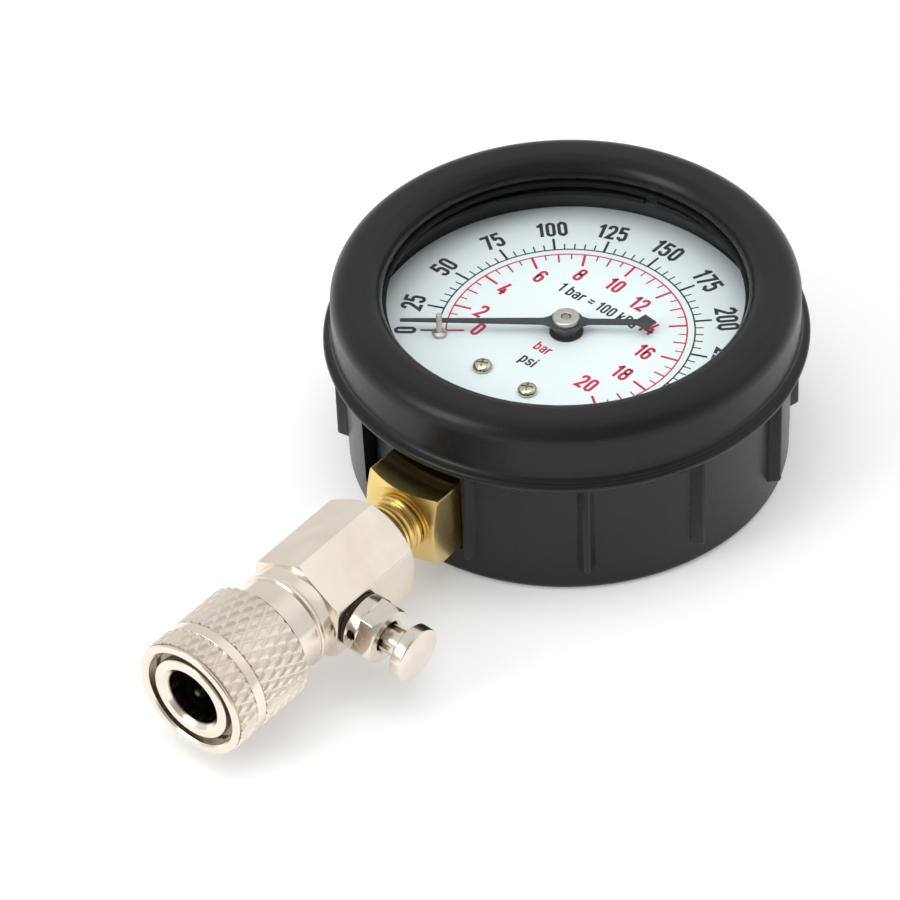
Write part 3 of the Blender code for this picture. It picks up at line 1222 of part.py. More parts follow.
def make_coupler(nickel, steel, rubber, adapter_axis):
    """Coupler body with its balls, seal and retaining ring, and the sliding sleeve."""
    spigot_r = COUPLER_PORT_R - THREAD_GAP
    spigot_end = COLLAR_END - COUPLER_PORT_DEPTH + FINE_GAP
    land_end = FACE_END + SLEEVE_RIM - SLEEVE_POCKET_DEPTH
    retainer_start = land_end + RUN_GAP + RETAINER_ROOM
    retainer_end = retainer_start + RETAINER_THICKNESS
    groove_r = NOSE_R - RETAINER_GROOVE_DEPTH
    bore_end = FACE_END - BORE_DEPTH
    ball_plane = FACE_END - BALL_INSET
    seal_plane = FACE_END - SEAL_INSET
    seal_half = SEAL_R + SEAL_ROOM
    seal_groove_r = BORE_R + 2 * SEAL_R - SEAL_SQUEEZE
    profile = [
        (BORE_R + BORE_CHAMFER, FACE_END), (NOSE_R - NOSE_CHAMFER, FACE_END),
        (NOSE_R, FACE_END - NOSE_CHAMFER),
        (NOSE_R, retainer_end + FINE_GAP), (groove_r, retainer_end + FINE_GAP),
        (groove_r, retainer_start - FINE_GAP), (NOSE_R, retainer_start - FINE_GAP),
        (NOSE_R, NOSE_START), (CORE_R, NOSE_START), (CORE_R, GUIDE_END), (GUIDE_R, GUIDE_END),
        (GUIDE_R, JOINT_END), (JOINT_RING_R, JOINT_END), (JOINT_RING_R, JOINT_START),
        (spigot_r, JOINT_START), (spigot_r, spigot_end),
        (BLEED_PASSAGE_R, spigot_end), (BLEED_PASSAGE_R, bore_end),
        (BORE_R, bore_end), (BORE_R, seal_plane - seal_half), (seal_groove_r, seal_plane - seal_half),
        (seal_groove_r, seal_plane + seal_half), (BORE_R, seal_plane + seal_half),
        (BORE_R, FACE_END - BORE_CHAMFER),
    ]
    body = turned("coupler_body", profile, nickel, adapter_axis, steps=30)
    for index in range(BALL_COUNT):
        angle = 2 * math.pi * index / BALL_COUNT
        hole_r = BALL_R + RUN_GAP
        step_r = BALL_R * BALL_SEAT_SHARE
        seat = BALL_CENTRE_R - math.sqrt(BALL_R ** 2 - step_r ** 2) - FINE_GAP
        cage = turned_rod(
            f"ball_hole_{index}",
            [(hole_r, NOSE_R + RUN_PAST), (hole_r, seat), (step_r, seat), (step_r, BORE_R - RUN_PAST)],
            parent=adapter_axis, steps=10,
        )
        cage.location = (0.0, 0.0, ball_plane)
        cage.rotation_euler = (0.0, math.pi / 2, angle)
        cut(body, cage)
        shape = bmesh.new()
        bmesh.ops.create_uvsphere(shape, u_segments=10, v_segments=8, radius=BALL_R)
        mesh = bpy.data.meshes.new(f"locking_ball_{index + 1}")
        shape.to_mesh(mesh)
        shape.free()
        ball = place(mesh, f"locking_ball_{index + 1}", steel, adapter_axis)
        ball.location = (*polar(BALL_CENTRE_R, angle), ball_plane)
    seal_r = seal_groove_r - SEAL_R - FLUSH_STEP
    ring_seal("plug_seal", seal_r, SEAL_R, seal_plane, rubber, adapter_axis, 24)
    retainer = turned_ring(
        "retaining_ring", groove_r + FINE_GAP, SLEEVE_POCKET_R - RETAINER_INSET, retainer_start,
        retainer_end, steel, adapter_axis, steps=24,
    )
    cut(retainer, box(
        "retainer_gap",
        (groove_r - RUN_PAST, -RETAINER_GAP / 2, retainer_start - RUN_PAST),
        (SLEEVE_POCKET_R + RUN_PAST, RETAINER_GAP / 2, retainer_end + RUN_PAST),
        parent=adapter_axis,
    ))

    rim_z = FACE_END + SLEEVE_RIM
    land_start = land_end - SLEEVE_LAND
    groove = SLEEVE_R - SLEEVE_GROOVE_DEPTH
    rim_round = SLEEVE_RIM_ROUND
    rim_start = rim_z - SLEEVE_RIM_BAND
    knurl_end = rim_start - SLEEVE_RIM_GROOVE
    front_start = rim_z - SLEEVE_FRONT_PART
    rear_end = front_start - SLEEVE_REAR_GROOVE
    guide_end = GUIDE_END - SLEEVE_GUIDE_OVERHANG
    sleeve_profile = [(SLEEVE_POCKET_R, rim_z - SLEEVE_MOUTH), (SLEEVE_POCKET_R + SLEEVE_MOUTH, rim_z)]
    rim_x = SLEEVE_R - SLEEVE_RIM_STEP - rim_round
    sleeve_profile += arc(rim_x, rim_z - rim_round, rim_round, 90, 0, 2)
    sleeve_profile += [
        (SLEEVE_R - SLEEVE_RIM_STEP, rim_start), (groove, rim_start), (groove, knurl_end),
        (SLEEVE_R, knurl_end), (SLEEVE_R, front_start), (groove, front_start), (groove, rear_end),
        (SLEEVE_R, rear_end), (SLEEVE_R, SLEEVE_START + SLEEVE_CHAMFER),
        (SLEEVE_R - SLEEVE_CHAMFER, SLEEVE_START), (GUIDE_R + RUN_GAP, SLEEVE_START),
        (GUIDE_R + RUN_GAP, guide_end), (SLEEVE_POCKET_R, guide_end + SEAT_GAP),
        (SLEEVE_POCKET_R, land_start),
        (NOSE_R + RUN_GAP, land_start), (NOSE_R + RUN_GAP, land_end), (SLEEVE_POCKET_R, land_end),
    ]
    turned("coupler_sleeve", sleeve_profile, nickel, adapter_axis, steps=30)
    coil_r = (CORE_R + SLEEVE_POCKET_R) / 2
    coil(
        "sleeve_spring", coil_r, COIL_WIRE_R, GUIDE_END + FINE_GAP, land_start - FINE_GAP, COIL_TURNS,
        steel, adapter_axis, per_turn=14,
    )


def make_valve(nickel, rubber, steel, valve_axis):
    """Bleed valve: O-ring, flanged hexagon body, mushroom button, spring and seal."""
    flat = HEX_FLATS / 2
    ring_at = flat + FINE_GAP + VALVE_RING_R
    ring_r = VALVE_FLANGE_R - VALVE_RING_R - VALVE_RING_INSET
    ring_seal("valve_o_ring", ring_r, VALVE_RING_R, ring_at, rubber, valve_axis, 24)
    flange_start = ring_at + VALVE_RING_R + FINE_GAP
    flange_end = flange_start + VALVE_FLANGE_THICKNESS
    nut_end = flange_end + VALVE_HEX_HEIGHT
    thread_start = flat - VALVE_THREAD_DEPTH
    chamber_start = flat - VALVE_SPRING_DEPTH
    chamber_floor = flange_start + VALVE_CHAMBER_FLOOR
    corner_r = VALVE_FLATS / math.sqrt(3)
    body = turned_rod(
        "valve_body",
        [
            (VALVE_FLANGE_R, flange_end), (VALVE_FLANGE_R, flange_start),
            (VALVE_THREAD_R, flange_start), (VALVE_THREAD_R, thread_start),
        ],
        nickel, valve_axis, steps=28,
    )
    nut = turned_rod(
        "valve_nut",
        [
            (VALVE_FLATS / 2 - VALVE_FACE_STEP, nut_end), (corner_r, nut_end - VALVE_HEX_CHAMFER),
            (corner_r, flange_start + VALVE_CHAMBER_FLOOR),
        ],
        parent=valve_axis, steps=28,
    )
    prism = cylinder(
        "valve_prism", corner_r, flange_end - VALVE_FACE_STEP, nut_end + RUN_PAST, parent=valve_axis,
        steps=6,
    )
    prism.rotation_euler = (0.0, 0.0, VALVE_HEX_TURN)
    combine(nut, prism, "INTERSECT")
    add(body, nut)
    spring_r = VALVE_THREAD_R - VALVE_SPRING_WALL
    chamber = turned_rod(
        "valve_chamber",
        [
            (VALVE_CHAMBER_R, nut_end + RUN_PAST), (VALVE_CHAMBER_R, chamber_floor),
            (spring_r, chamber_floor), (spring_r, chamber_start),
        ],
        parent=valve_axis, steps=20,
    )
    cut(body, chamber)
    port = cylinder(
        "valve_port", VALVE_PORT_R, thread_start - RUN_PAST, chamber_start + RUN_PAST,
        parent=valve_axis, steps=12,
    )
    cut(body, port)
    sink_start = VALVE_FLANGE_R - (VENT_SINK_R - VENT_R)
    sink_slope_end = VENT_SINK_R + RUN_PAST
    vent = turned_rod(
        "valve_vent",
        [(sink_slope_end, VALVE_FLANGE_R + RUN_PAST), (VENT_R, sink_start), (VENT_R, 0.0)],
        parent=valve_axis, steps=16,
    )
    vent.location = (0.0, 0.0, (flange_start + flange_end) / 2)
    vent.rotation_euler = (0.0, math.pi / 2, VENT_ANGLE)
    cut(body, vent)

    head_start = nut_end + BUTTON_STANDOFF
    head_end = head_start + BUTTON_THICKNESS
    stem_start = chamber_floor + BUTTON_TRAVEL + BUTTON_STOP_ROOM
    rod_r = VALVE_PORT_R - ROD_ROOM
    seal_start = thread_start - FINE_GAP - VALVE_SEAL_THICKNESS
    button = turned_rod(
        "valve_button",
        [
            (BUTTON_R - BUTTON_EDGE, head_end), (BUTTON_R, head_end - BUTTON_EDGE),
            (BUTTON_R, head_start + BUTTON_EDGE), (BUTTON_R - BUTTON_EDGE, head_start),
            (BUTTON_STEM_R, head_start), (BUTTON_STEM_R, stem_start),
            (rod_r, stem_start), (rod_r, seal_start - ROD_BEYOND_SEAL),
        ],
        nickel, valve_axis, steps=28,
    )
    for index in range(4):
        flute = box(
            f"button_flute_{index}",
            (BUTTON_STEM_R - FLUTE_DEPTH, -FLUTE_WIDTH / 2, stem_start - RUN_PAST),
            (BUTTON_STEM_R + RUN_PAST, FLUTE_WIDTH / 2, head_start - FLUTE_RUNOUT),
            parent=valve_axis,
        )
        flute.rotation_euler = (0.0, 0.0, FLUTE_ANGLE + index * math.pi / 2)
        cut(button, flute)
    turned_ring(
        "valve_seal", rod_r + FINE_GAP, BLEED_PASSAGE_R - VALVE_SEAL_INSET, seal_start,
        seal_start + VALVE_SEAL_THICKNESS, rubber, valve_axis, steps=16,
    )
    coil(
        "valve_spring", spring_r - FINE_GAP - 2 * VALVE_WIRE_R, VALVE_WIRE_R,
        chamber_start + FINE_GAP, stem_start - FINE_GAP, VALVE_SPRING_TURNS, steel, valve_axis,
        per_turn=8,
    )
    return body


def main():
    """Clear the scene and build every piece."""
    for obj in list(bpy.data.objects):
        bpy.data.objects.remove(obj)
    bpy.context.scene.collection.children.link(PART)
    bpy.context.scene.collection.children.link(CUTTERS)
    rubber = finish("black_rubber", (0.02, 0.02, 0.022), 0.0, 0.6)
    black = finish("black_paint", (0.015, 0.015, 0.016), 0.0, 0.35)
    grey = finish("grey_paint", (0.05, 0.055, 0.06), 0.0, 0.5)
    clear = finish("clear_window", (0.9, 0.95, 0.95), 0.0, 0.05)
    white = finish("dial_white", (0.86, 0.89, 0.9), 0.0, 0.4)
    brass = finish("brass", (0.72, 0.5, 0.2), 1.0, 0.3)
    bronze = finish("bronze", (0.6, 0.4, 0.2), 1.0, 0.4)
    nickel = finish("nickel", (0.75, 0.71, 0.65), 1.0, 0.25)
    steel = finish("steel", (0.6, 0.6, 0.58), 1.0, 0.3)
    fibre = finish("fibre", (0.35, 0.12, 0.08), 0.0, 0.7)
    stem_axis = axis_empty("stem_axis", (0.0, 0.0, AXIS_Z), (math.pi / 2, 0.0, 0.0))
    adapter_axis = axis_empty("adapter_axis", (0.0, 0.0, 0.0), (0.0, 0.0, ADAPTER_TURN), stem_axis)
    crosswise = (0.0, math.pi / 2, 0.0)
    valve_axis = axis_empty("valve_axis", (0.0, 0.0, VALVE_STATION), crosswise, adapter_axis)
    make_boot(rubber)
    make_case(grey, black, rubber, clear)
    make_case_fittings(steel, rubber)
    make_socket(brass, stem_axis)
    make_tube(bronze, brass, steel)
    make_sector(brass, steel)
    make_movement(brass, steel)
    make_arbor(steel, brass, bronze)
    make_dial(white, steel, nickel, black)
    make_adapter(nickel, fibre, adapter_axis, valve_axis)
    make_coupler(nickel, steel, rubber, adapter_axis)
    make_valve(nickel, rubber, steel, valve_axis)


main()
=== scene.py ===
"""Looks of a compression tester gauge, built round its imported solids.

Lengths in the classes are millimetres in the part's own frame: the origin is the centre
of the boot's flat back, +Z comes out of the dial and the stem points along -Y. A piece on
the stem is drawn along its own +Z, which STEM, ADAPTER or VALVE then puts in place.
"""
from __future__ import annotations

import json
import logging
import math
from dataclasses import dataclass, replace
from enum import Enum

import bmesh
import bpy
from mathutils import Matrix, Vector

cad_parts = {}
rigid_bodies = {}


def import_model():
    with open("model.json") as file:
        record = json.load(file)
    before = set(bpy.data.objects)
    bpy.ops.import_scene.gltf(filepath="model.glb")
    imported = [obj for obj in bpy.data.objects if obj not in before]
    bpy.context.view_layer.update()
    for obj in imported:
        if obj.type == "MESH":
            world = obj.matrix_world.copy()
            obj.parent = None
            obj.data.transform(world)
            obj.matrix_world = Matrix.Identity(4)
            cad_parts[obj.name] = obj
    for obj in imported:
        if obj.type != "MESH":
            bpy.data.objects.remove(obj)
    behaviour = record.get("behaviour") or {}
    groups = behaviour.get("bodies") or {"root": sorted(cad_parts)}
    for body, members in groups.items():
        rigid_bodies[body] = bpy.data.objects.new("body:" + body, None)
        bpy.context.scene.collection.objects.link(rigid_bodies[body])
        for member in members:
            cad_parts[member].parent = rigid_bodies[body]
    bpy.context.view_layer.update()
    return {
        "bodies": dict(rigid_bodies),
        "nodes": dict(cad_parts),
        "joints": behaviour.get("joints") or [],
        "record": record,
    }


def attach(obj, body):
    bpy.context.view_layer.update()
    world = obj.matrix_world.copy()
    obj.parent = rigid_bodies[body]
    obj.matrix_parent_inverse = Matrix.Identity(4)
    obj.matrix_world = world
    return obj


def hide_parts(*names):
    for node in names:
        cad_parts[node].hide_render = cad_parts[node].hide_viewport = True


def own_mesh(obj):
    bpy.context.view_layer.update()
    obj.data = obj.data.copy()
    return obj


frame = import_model()

LOG = logging.getLogger("gauge")
MM = 0.001
AXIS_HEIGHT = 13.7     # of the stem above the bench
ADAPTER_TURN = math.radians(-6.0)
FACE_TURN = math.radians(-1.8)
VALVE_STATION = 64.2   # of the bleed valve along the stem
DIAL_TOP = 23.92       # height of the dial's painted face

UPRIGHT = Matrix.Identity(4)
TIPPED = Matrix.Rotation(math.pi / 2, 4, "Y")  # lays +Z along +X
PORT_PLACE = Matrix.Translation((0, 0, VALVE_STATION))
STEM = Matrix(((1, 0, 0, 0), (0, 0, -1, 0), (0, 1, 0, AXIS_HEIGHT), (0, 0, 0, 1)))
ADAPTER = STEM @ Matrix.Rotation(ADAPTER_TURN, 4, "Z")
VALVE = ADAPTER @ PORT_PLACE @ TIPPED
DIAL = Matrix.Rotation(FACE_TURN, 4, "Z")

Point = tuple[float, float]
Triple = tuple[float, float, float]
Socket = bpy.types.NodeSocket
Piece = bpy.types.Object

NOISE_RANGE = (0.3, 0.7)           # values that a noise texture mostly gives
# painted shade: a colour that darkens the inside of a bore where the hollow lies in shade, and where that
# painted shade has faded out
BORE_PAINTED_SHADE = (0.24, 0.19, 0.15)
BORE_SHADE_EDGE = 1.04                   # where the bore's colour has faded out, as a share of its radius


class Body(Enum):
    """Rigid groups that the pieces move with."""

    FRAME = "frame"
    POINTER = "pointer_set"
    BUTTON = "button_set"
    SLEEVE = "sleeve_set"


class Grain(Enum):
    """Which way the fine marks of a surface run."""

    EVEN = "even"
    STEM = "stem"
    VALVE = "valve"
    DIAL = "dial"


GRAIN_FRAMES = {Grain.STEM: ADAPTER, Grain.VALVE: VALVE, Grain.DIAL: UPRIGHT}


class Nodes:
    """Adds and links nodes in one node tree."""

    def __init__(self, tree: bpy.types.NodeTree) -> None:
        """Work in the given tree."""
        self.tree = tree

    def feed(self, node: bpy.types.Node, sources: dict) -> None:
        """Link sockets or set plain values as a node's inputs, by name or number."""
        for key, source in sources.items():
            if isinstance(source, Socket):
                self.tree.links.new(source, node.inputs[key])
            else:
                node.inputs[key].default_value = source

    def node(self, kind: str, sources: dict | None = None, **settings: object) -> bpy.types.Node:
        """Add a node, set its properties and feed its inputs."""
        made = self.tree.nodes.new(kind)
        for key, value in settings.items():
            setattr(made, key, value)
        self.feed(made, sources or {})
        return made

    def math(self, operation: str, first: object, second: object = 0.0) -> Socket:
        """Work out one value from two."""
        return self.node("ShaderNodeMath", {0: first, 1: second}, operation=operation).outputs[0]

    def vector(self, x: object, y: object, z: object = 0.0) -> Socket:
        """Put three values in a vector."""
        return self.node("ShaderNodeCombineXYZ", {0: x, 1: y, 2: z}).outputs[0]

    def split(self, vector: Socket) -> bpy.types.NodeOutputs:
        """Take a vector's three values."""
        return self.node("ShaderNodeSeparateXYZ", {0: vector}).outputs

    def mapped(self, value: Socket, given: Point, wanted: Point, curve: str = "LINEAR") -> Socket:
        """Map a value from one range to another, and keep it inside."""
        ends = {"From Min": given[0], "From Max": given[1], "To Min": wanted[0], "To Max": wanted[1]}
        sources = {"Value": value, **ends}
        return self.node("ShaderNodeMapRange", sources, interpolation_type=curve).outputs["Result"]

    def mixed(self, factor: object, first: object, second: object, blend: str = "MIX") -> Socket:
        """Mix two colours."""
        node = self.node("ShaderNodeMix", {"Factor": factor}, data_type="RGBA", blend_type=blend)
        slots = [index for index, socket in enumerate(node.inputs) if socket.type == "RGBA"]
        self.feed(node, dict(zip(slots, (first, second))))
        return next(socket for socket in node.outputs if socket.type == "RGBA")


class ShaderBench(Nodes):
    """Builds one material round its Principled shader."""

    def __init__(self, name: str) -> None:
        """Start a material."""
        self.material = bpy.data.materials.new(name)
        self.material.use_nodes = True
        super().__init__(self.material.node_tree)
        self.shader = self.tree.nodes["Principled BSDF"]
        self.output = self.tree.nodes["Material Output"]

    def grain_vector(self, grain: Grain) -> Socket:
        """Coordinates in metres: even ones, or (radius, height) round the grain's axis."""
        coordinates = self.node("ShaderNodeTexCoord").outputs["Object"]
        if grain is Grain.EVEN:
            return coordinates
        axis = GRAIN_FRAMES[grain]
        metric = Matrix.Translation(axis.translation * MM) @ axis.to_3x3().to_4x4()
        back = metric.inverted()
        sources = {"Vector": coordinates, "Location": back.translation, "Rotation": back.to_euler()}
        x, y, z = self.split(self.node("ShaderNodeMapping", sources).outputs["Vector"])
        radius = self.node("ShaderNodeVectorMath", {0: self.vector(x, y)}, operation="LENGTH")
        return self.vector(radius.outputs["Value"], z)

    def noise(self, vector: Socket, per_metre: float, detail: float = 2.0) -> Socket:
        """Noise of so many features a metre, as a value round 0.5."""
        sources = {"Vector": vector, "Scale": per_metre, "Detail": detail}
        return self.node("ShaderNodeTexNoise", sources).outputs["Fac"]

    def ranged(self, value: Socket, low: float, high: float) -> Socket:
        """Spread a noise value between two limits."""
        return self.mapped(value, NOISE_RANGE, (low, high))

    def tinted(self, value: Socket, dark: Triple, light: Triple) -> Socket:
        """Mix two colours by a noise value."""
        return self.mixed(self.ranged(value, 0.0, 1.0), (*dark, 1.0), (*light, 1.0))

    def shaded_bore(self, colour: Socket, grain: Grain, radius: float) -> Socket:
        """Paint shade into a colour inside a radius in metres round the grain's axis, for the dark of a bore.
        """
        distance = self.split(self.grain_vector(grain))["X"]
        inside = self.mapped(distance, (radius, radius * BORE_SHADE_EDGE), (1.0, 0.0))
        return self.mixed(inside, colour, (*BORE_PAINTED_SHADE, 1.0))

    def bump(self, value: Socket, depth: float, strength: float) -> Socket:
        """Raise the surface by a texture value, depth in metres."""
        sources = {"Height": value, "Distance": depth, "Strength": strength}
        return self.node("ShaderNodeBump", sources).outputs["Normal"]


@dataclass(frozen=True)
class Surface:
    """What a piece is finished in."""

    name: str
    slot: str

    def paint(self, bench: ShaderBench) -> None:
        """Set up the material on its bench."""
        raise NotImplementedError

    def material(self) -> bpy.types.Material:
        """Return the surface's material, made once."""
        known = bpy.data.materials.get(self.name)
        if known:
            return known
        bench = ShaderBench(self.name)
        self.paint(bench)
        return bench.material


@dataclass(frozen=True)
class Finish(Surface):
    """Opaque finish.

    The colour varies between dark and light over patches; the marks are the fine
    texture that bump and roughness take from the making of the surface.
    """

    dark: Triple
    light: Triple
    roughness: Point
    metallic: float = 0.0
    grain: Grain = Grain.EVEN
    patches: float = 90.0
    marks: float = 3000.0
    mark_depth: float = 0.00002
    mark_strength: float = 0.15
    specular: float = 0.5
    # painted shade: radius in metres round the grain's axis inside which the colour darkens, for the dark of
    # a bore
    dark_within: float = 0.0

    def paint(self, bench: ShaderBench) -> None:
        """Set up the material on its bench."""
        patches = bench.noise(bench.grain_vector(Grain.EVEN), self.patches)
        colour = bench.tinted(patches, self.dark, self.light)
        # painted shade inside the bore
        if self.dark_within > 0.0:
            colour = bench.shaded_bore(colour, self.grain, self.dark_within)
        marks = bench.noise(bench.grain_vector(self.grain), self.marks, 4.0)
        bench.feed(bench.shader, {
            "Base Color": colour, "Metallic": self.metallic, "Specular IOR Level": self.specular,
            "Roughness": bench.ranged(marks, *self.roughness),
            "Normal": bench.bump(marks, self.mark_depth, self.mark_strength),
        })
        bench.material.diffuse_color = (*self.light, 1.0)


@dataclass(frozen=True)
class WindowFinish(Surface):
    """Clear pane that lets the studio light through to the dial."""

    tint: Triple = (0.97, 0.99, 0.99)
    bending: float = 1.02
    coat: float = 0.35
    coat_bending: float = 1.45
    haze: float = 0.02
    haze_patches: float = 60.0

    def paint(self, bench: ShaderBench) -> None:
        """Set up the material on its bench."""
        haze = bench.noise(bench.grain_vector(Grain.EVEN), self.haze_patches)
        bench.feed(bench.shader, {
            "Base Color": (*self.tint, 1.0), "Transmission Weight": 1.0, "IOR": self.bending,
            "Coat Weight": self.coat, "Coat IOR": self.coat_bending, "Coat Roughness": self.haze,
            "Roughness": bench.ranged(haze, 0.0, self.haze),
        })
        rays = bench.node("ShaderNodeLightPath").outputs
        passing = bench.math("MAXIMUM", rays["Is Shadow Ray"], rays["Is Diffuse Ray"])
        clear = bench.node("ShaderNodeBsdfTransparent").outputs["BSDF"]
        mix = bench.node("ShaderNodeMixShader", {0: passing, 1: bench.shader.outputs["BSDF"], 2: clear})
        bench.feed(bench.output, {"Surface": mix.outputs["Shader"]})


BOOT_RUBBER = Finish(
    "moulded_black_rubber", "black_rubber", (0.0064, 0.0066, 0.0078), (0.0096, 0.0099, 0.0114), (0.27, 0.36),
    patches=70.0, marks=2600.0, mark_depth=0.00003, mark_strength=0.08, specular=0.3,
)
SEAL_RUBBER = Finish(
    "seal_rubber", "black_rubber", (0.006, 0.006, 0.007), (0.011, 0.011, 0.012), (0.4, 0.55), marks=4000.0,
    specular=0.25,
)
BROWN_RUBBER = Finish(
    "brown_seal_rubber", "black_rubber", (0.022, 0.015, 0.011), (0.034, 0.023, 0.017), (0.35, 0.5),
    marks=4000.0, specular=0.3,
)
CASE_PAINT = Finish(
    "case_grey_paint", "grey_paint", (0.034, 0.041, 0.046), (0.047, 0.055, 0.061), (0.4, 0.55), marks=3500.0,
    specular=0.35,
)
BEZEL_PAINT = Finish(
    "bezel_black_paint", "black_paint", (0.004, 0.004, 0.0045), (0.007, 0.007, 0.0075), (0.45, 0.55),
    marks=3500.0, specular=0.18,
)
POINTER_PAINT = Finish(
    "pointer_black_paint", "black_paint", (0.022, 0.025, 0.03), (0.034, 0.038, 0.044), (0.4, 0.5),
    marks=5000.0, mark_strength=0.05, specular=0.3,
)
DIAL_PAINT = Finish(
    "dial_white_paint", "dial_white", (0.83, 0.92, 0.94), (0.855, 0.937, 0.952), (0.42, 0.55), patches=45.0,
    marks=5000.0, mark_depth=0.000005, mark_strength=0.05, specular=0.3,
)
BLACK_INK = Finish(
    "dial_black_ink", "dial_white", (0.011, 0.014, 0.017), (0.016, 0.02, 0.024), (0.45, 0.55),
    mark_strength=0.03, specular=0.2,
)
RED_INK = replace(BLACK_INK, name="dial_red_ink", dark=(0.53, 0.014, 0.05), light=(0.6, 0.02, 0.064))
BRASS = Finish(
    "turned_brass", "brass", (0.8, 0.59, 0.22), (0.88, 0.7, 0.32), (0.18, 0.26), 1.0, Grain.STEM,
    patches=120.0, marks=2200.0, mark_strength=0.03,
)
INNER_BRASS = Finish(
    "stamped_brass", "brass", (0.62, 0.42, 0.15), (0.72, 0.5, 0.2), (0.25, 0.4), 1.0, marks=2500.0,
)
BRONZE = Finish(
    "drawn_bronze", "bronze", (0.5, 0.32, 0.15), (0.62, 0.42, 0.2), (0.3, 0.42), 1.0, marks=1800.0,
)
NICKEL_TURNED = Finish(
    "turned_nickel", "nickel", (0.83, 0.755, 0.655), (0.9, 0.83, 0.735), (0.17, 0.25), 1.0, Grain.STEM,
    patches=110.0, marks=3200.0, mark_strength=0.06,
)
# coupler nickel with painted shade inside its bore
NICKEL_WITH_BORE_SHADE = replace(NICKEL_TURNED, name="coupler_nickel_bore_shade", dark_within=0.0049)
NICKEL_KNURL = replace(NICKEL_TURNED, name="knurled_nickel", roughness=(0.36, 0.46), marks=2600.0)
NICKEL_FLAT = Finish(
    "satin_nickel", "nickel", (0.83, 0.75, 0.64), (0.9, 0.82, 0.715), (0.2, 0.27), 1.0, patches=140.0,
    marks=420.0, mark_strength=0.02,
)
NICKEL_VALVE = Finish(
    "valve_nickel", "nickel", (0.77, 0.7, 0.61), (0.87, 0.8, 0.71), (0.17, 0.26), 1.0, Grain.VALVE,
    patches=200.0, marks=3600.0, mark_strength=0.06,
)
NICKEL_SMALL = Finish(
    "bush_nickel", "nickel", (0.54, 0.5, 0.45), (0.64, 0.6, 0.54), (0.28, 0.4), 1.0, Grain.DIAL,
    patches=600.0, marks=6000.0, mark_strength=0.2,
)
SCREW_STEEL = Finish(
    "zinc_steel", "steel", (0.55, 0.52, 0.4), (0.68, 0.65, 0.52), (0.2, 0.34), 1.0, patches=500.0,
    marks=4000.0,
)
SPRING_STEEL = Finish(
    "spring_steel", "steel", (0.3, 0.29, 0.27), (0.42, 0.4, 0.38), (0.22, 0.34), 1.0, marks=5000.0,
)
FIBRE = Finish("pressed_fibre", "fibre", (0.28, 0.09, 0.06), (0.38, 0.14, 0.09), (0.6, 0.8), patches=900.0)
WINDOW_PANE = WindowFinish("clear_pane", "clear_window")


def rounded(corners: list[tuple], steps: int = 4, closed: bool = True) -> list[Point]:
    """Round the corners of a profile.

    Args:
        corners: (x, y) or (x, y, radius) for each corner in order.
        steps: segments in each rounded corner.
        closed: whether the last corner joins the first.

    Returns:
        The profile's points, with an arc at each corner that has a radius.
    """
    points: list[Point] = []
    count = len(corners)
    for index, corner in enumerate(corners):
        radius = corner[2] if len(corner) > 2 else 0.0
        at_end = not closed and index in (0, count - 1)
        here = Vector(corner[:2])
        if radius <= 0.0 or at_end:
            points.append((here.x, here.y))
            continue
        before = (Vector(corners[index - 1][:2]) - here).normalized()
        after = (Vector(corners[(index + 1) % count][:2]) - here).normalized()
        half = before.angle(after) / 2
        reach = radius / math.tan(half)
        centre = here + (before + after).normalized() * (radius / math.sin(half))
        first = here + before * reach - centre
        last = here + after * reach - centre
        sweep = first.angle_signed(last)
        for step in range(steps + 1):
            turned = first.copy()
            turned.rotate(Matrix.Rotation(-sweep * step / steps, 2))
            spot = centre + turned
            points.append((spot.x, spot.y))
    return points


def arc(centre: Point, radius: float, start: float, end: float, steps: int) -> list[Point]:
    """Points of an arc between two angles in degrees."""
    angles = [math.radians(start + (end - start) * step / steps) for step in range(steps + 1)]
    return [(centre[0] + radius * math.cos(a), centre[1] + radius * math.sin(a)) for a in angles]


def shown(made: Piece) -> Piece:
    """Put an object in the scene."""
    bpy.context.scene.collection.objects.link(made)
    return made


def mesh_object(name: str, shape: bmesh.types.BMesh, weld: bool = True) -> Piece:
    """Close a bmesh into an object with its faces pointing outwards."""
    if weld:
        bmesh.ops.remove_doubles(shape, verts=shape.verts, dist=1e-4)
    bmesh.ops.recalc_face_normals(shape, faces=shape.faces)
    mesh = bpy.data.meshes.new(name)
    shape.to_mesh(mesh)
    shape.free()
    return shown(bpy.data.objects.new(name, mesh))


def revolve(name: str, profile: list[Point], steps: int = 96) -> Piece:
    """Turn a closed (radius, height) profile about the local Z axis."""
    shape = bmesh.new()
    rings = []
    for radius, height in profile:
        if radius < 1e-6:
            rings.append([shape.verts.new((0.0, 0.0, height))] * steps)
            continue
        angles = [2 * math.pi * step / steps for step in range(steps)]
        rings.append([shape.verts.new((radius * math.cos(a), radius * math.sin(a), height)) for a in angles])
    for index, ring in enumerate(rings):
        before = rings[index - 1]
        for step in range(steps):
            following = (step + 1) % steps
            loop = (before[step], before[following], ring[following], ring[step])
            corners = list(dict.fromkeys(loop))
            if len(corners) > 2:
                shape.faces.new(corners)
    return mesh_object(name, shape)


def lathe(name: str, corners: list[tuple], steps: int, bend: int = 4) -> Piece:
    """Turn a profile whose corners may be rounded, each with so many segments as bend."""
    return revolve(name, rounded(corners, bend), steps)


def o_ring(name: str, radius: float, height: float, half: float) -> Piece:
    """Ring of round section about the local Z axis; half is the radius of that section."""
    return revolve(name, arc((radius, height), half, 0, 345, 23), 96)


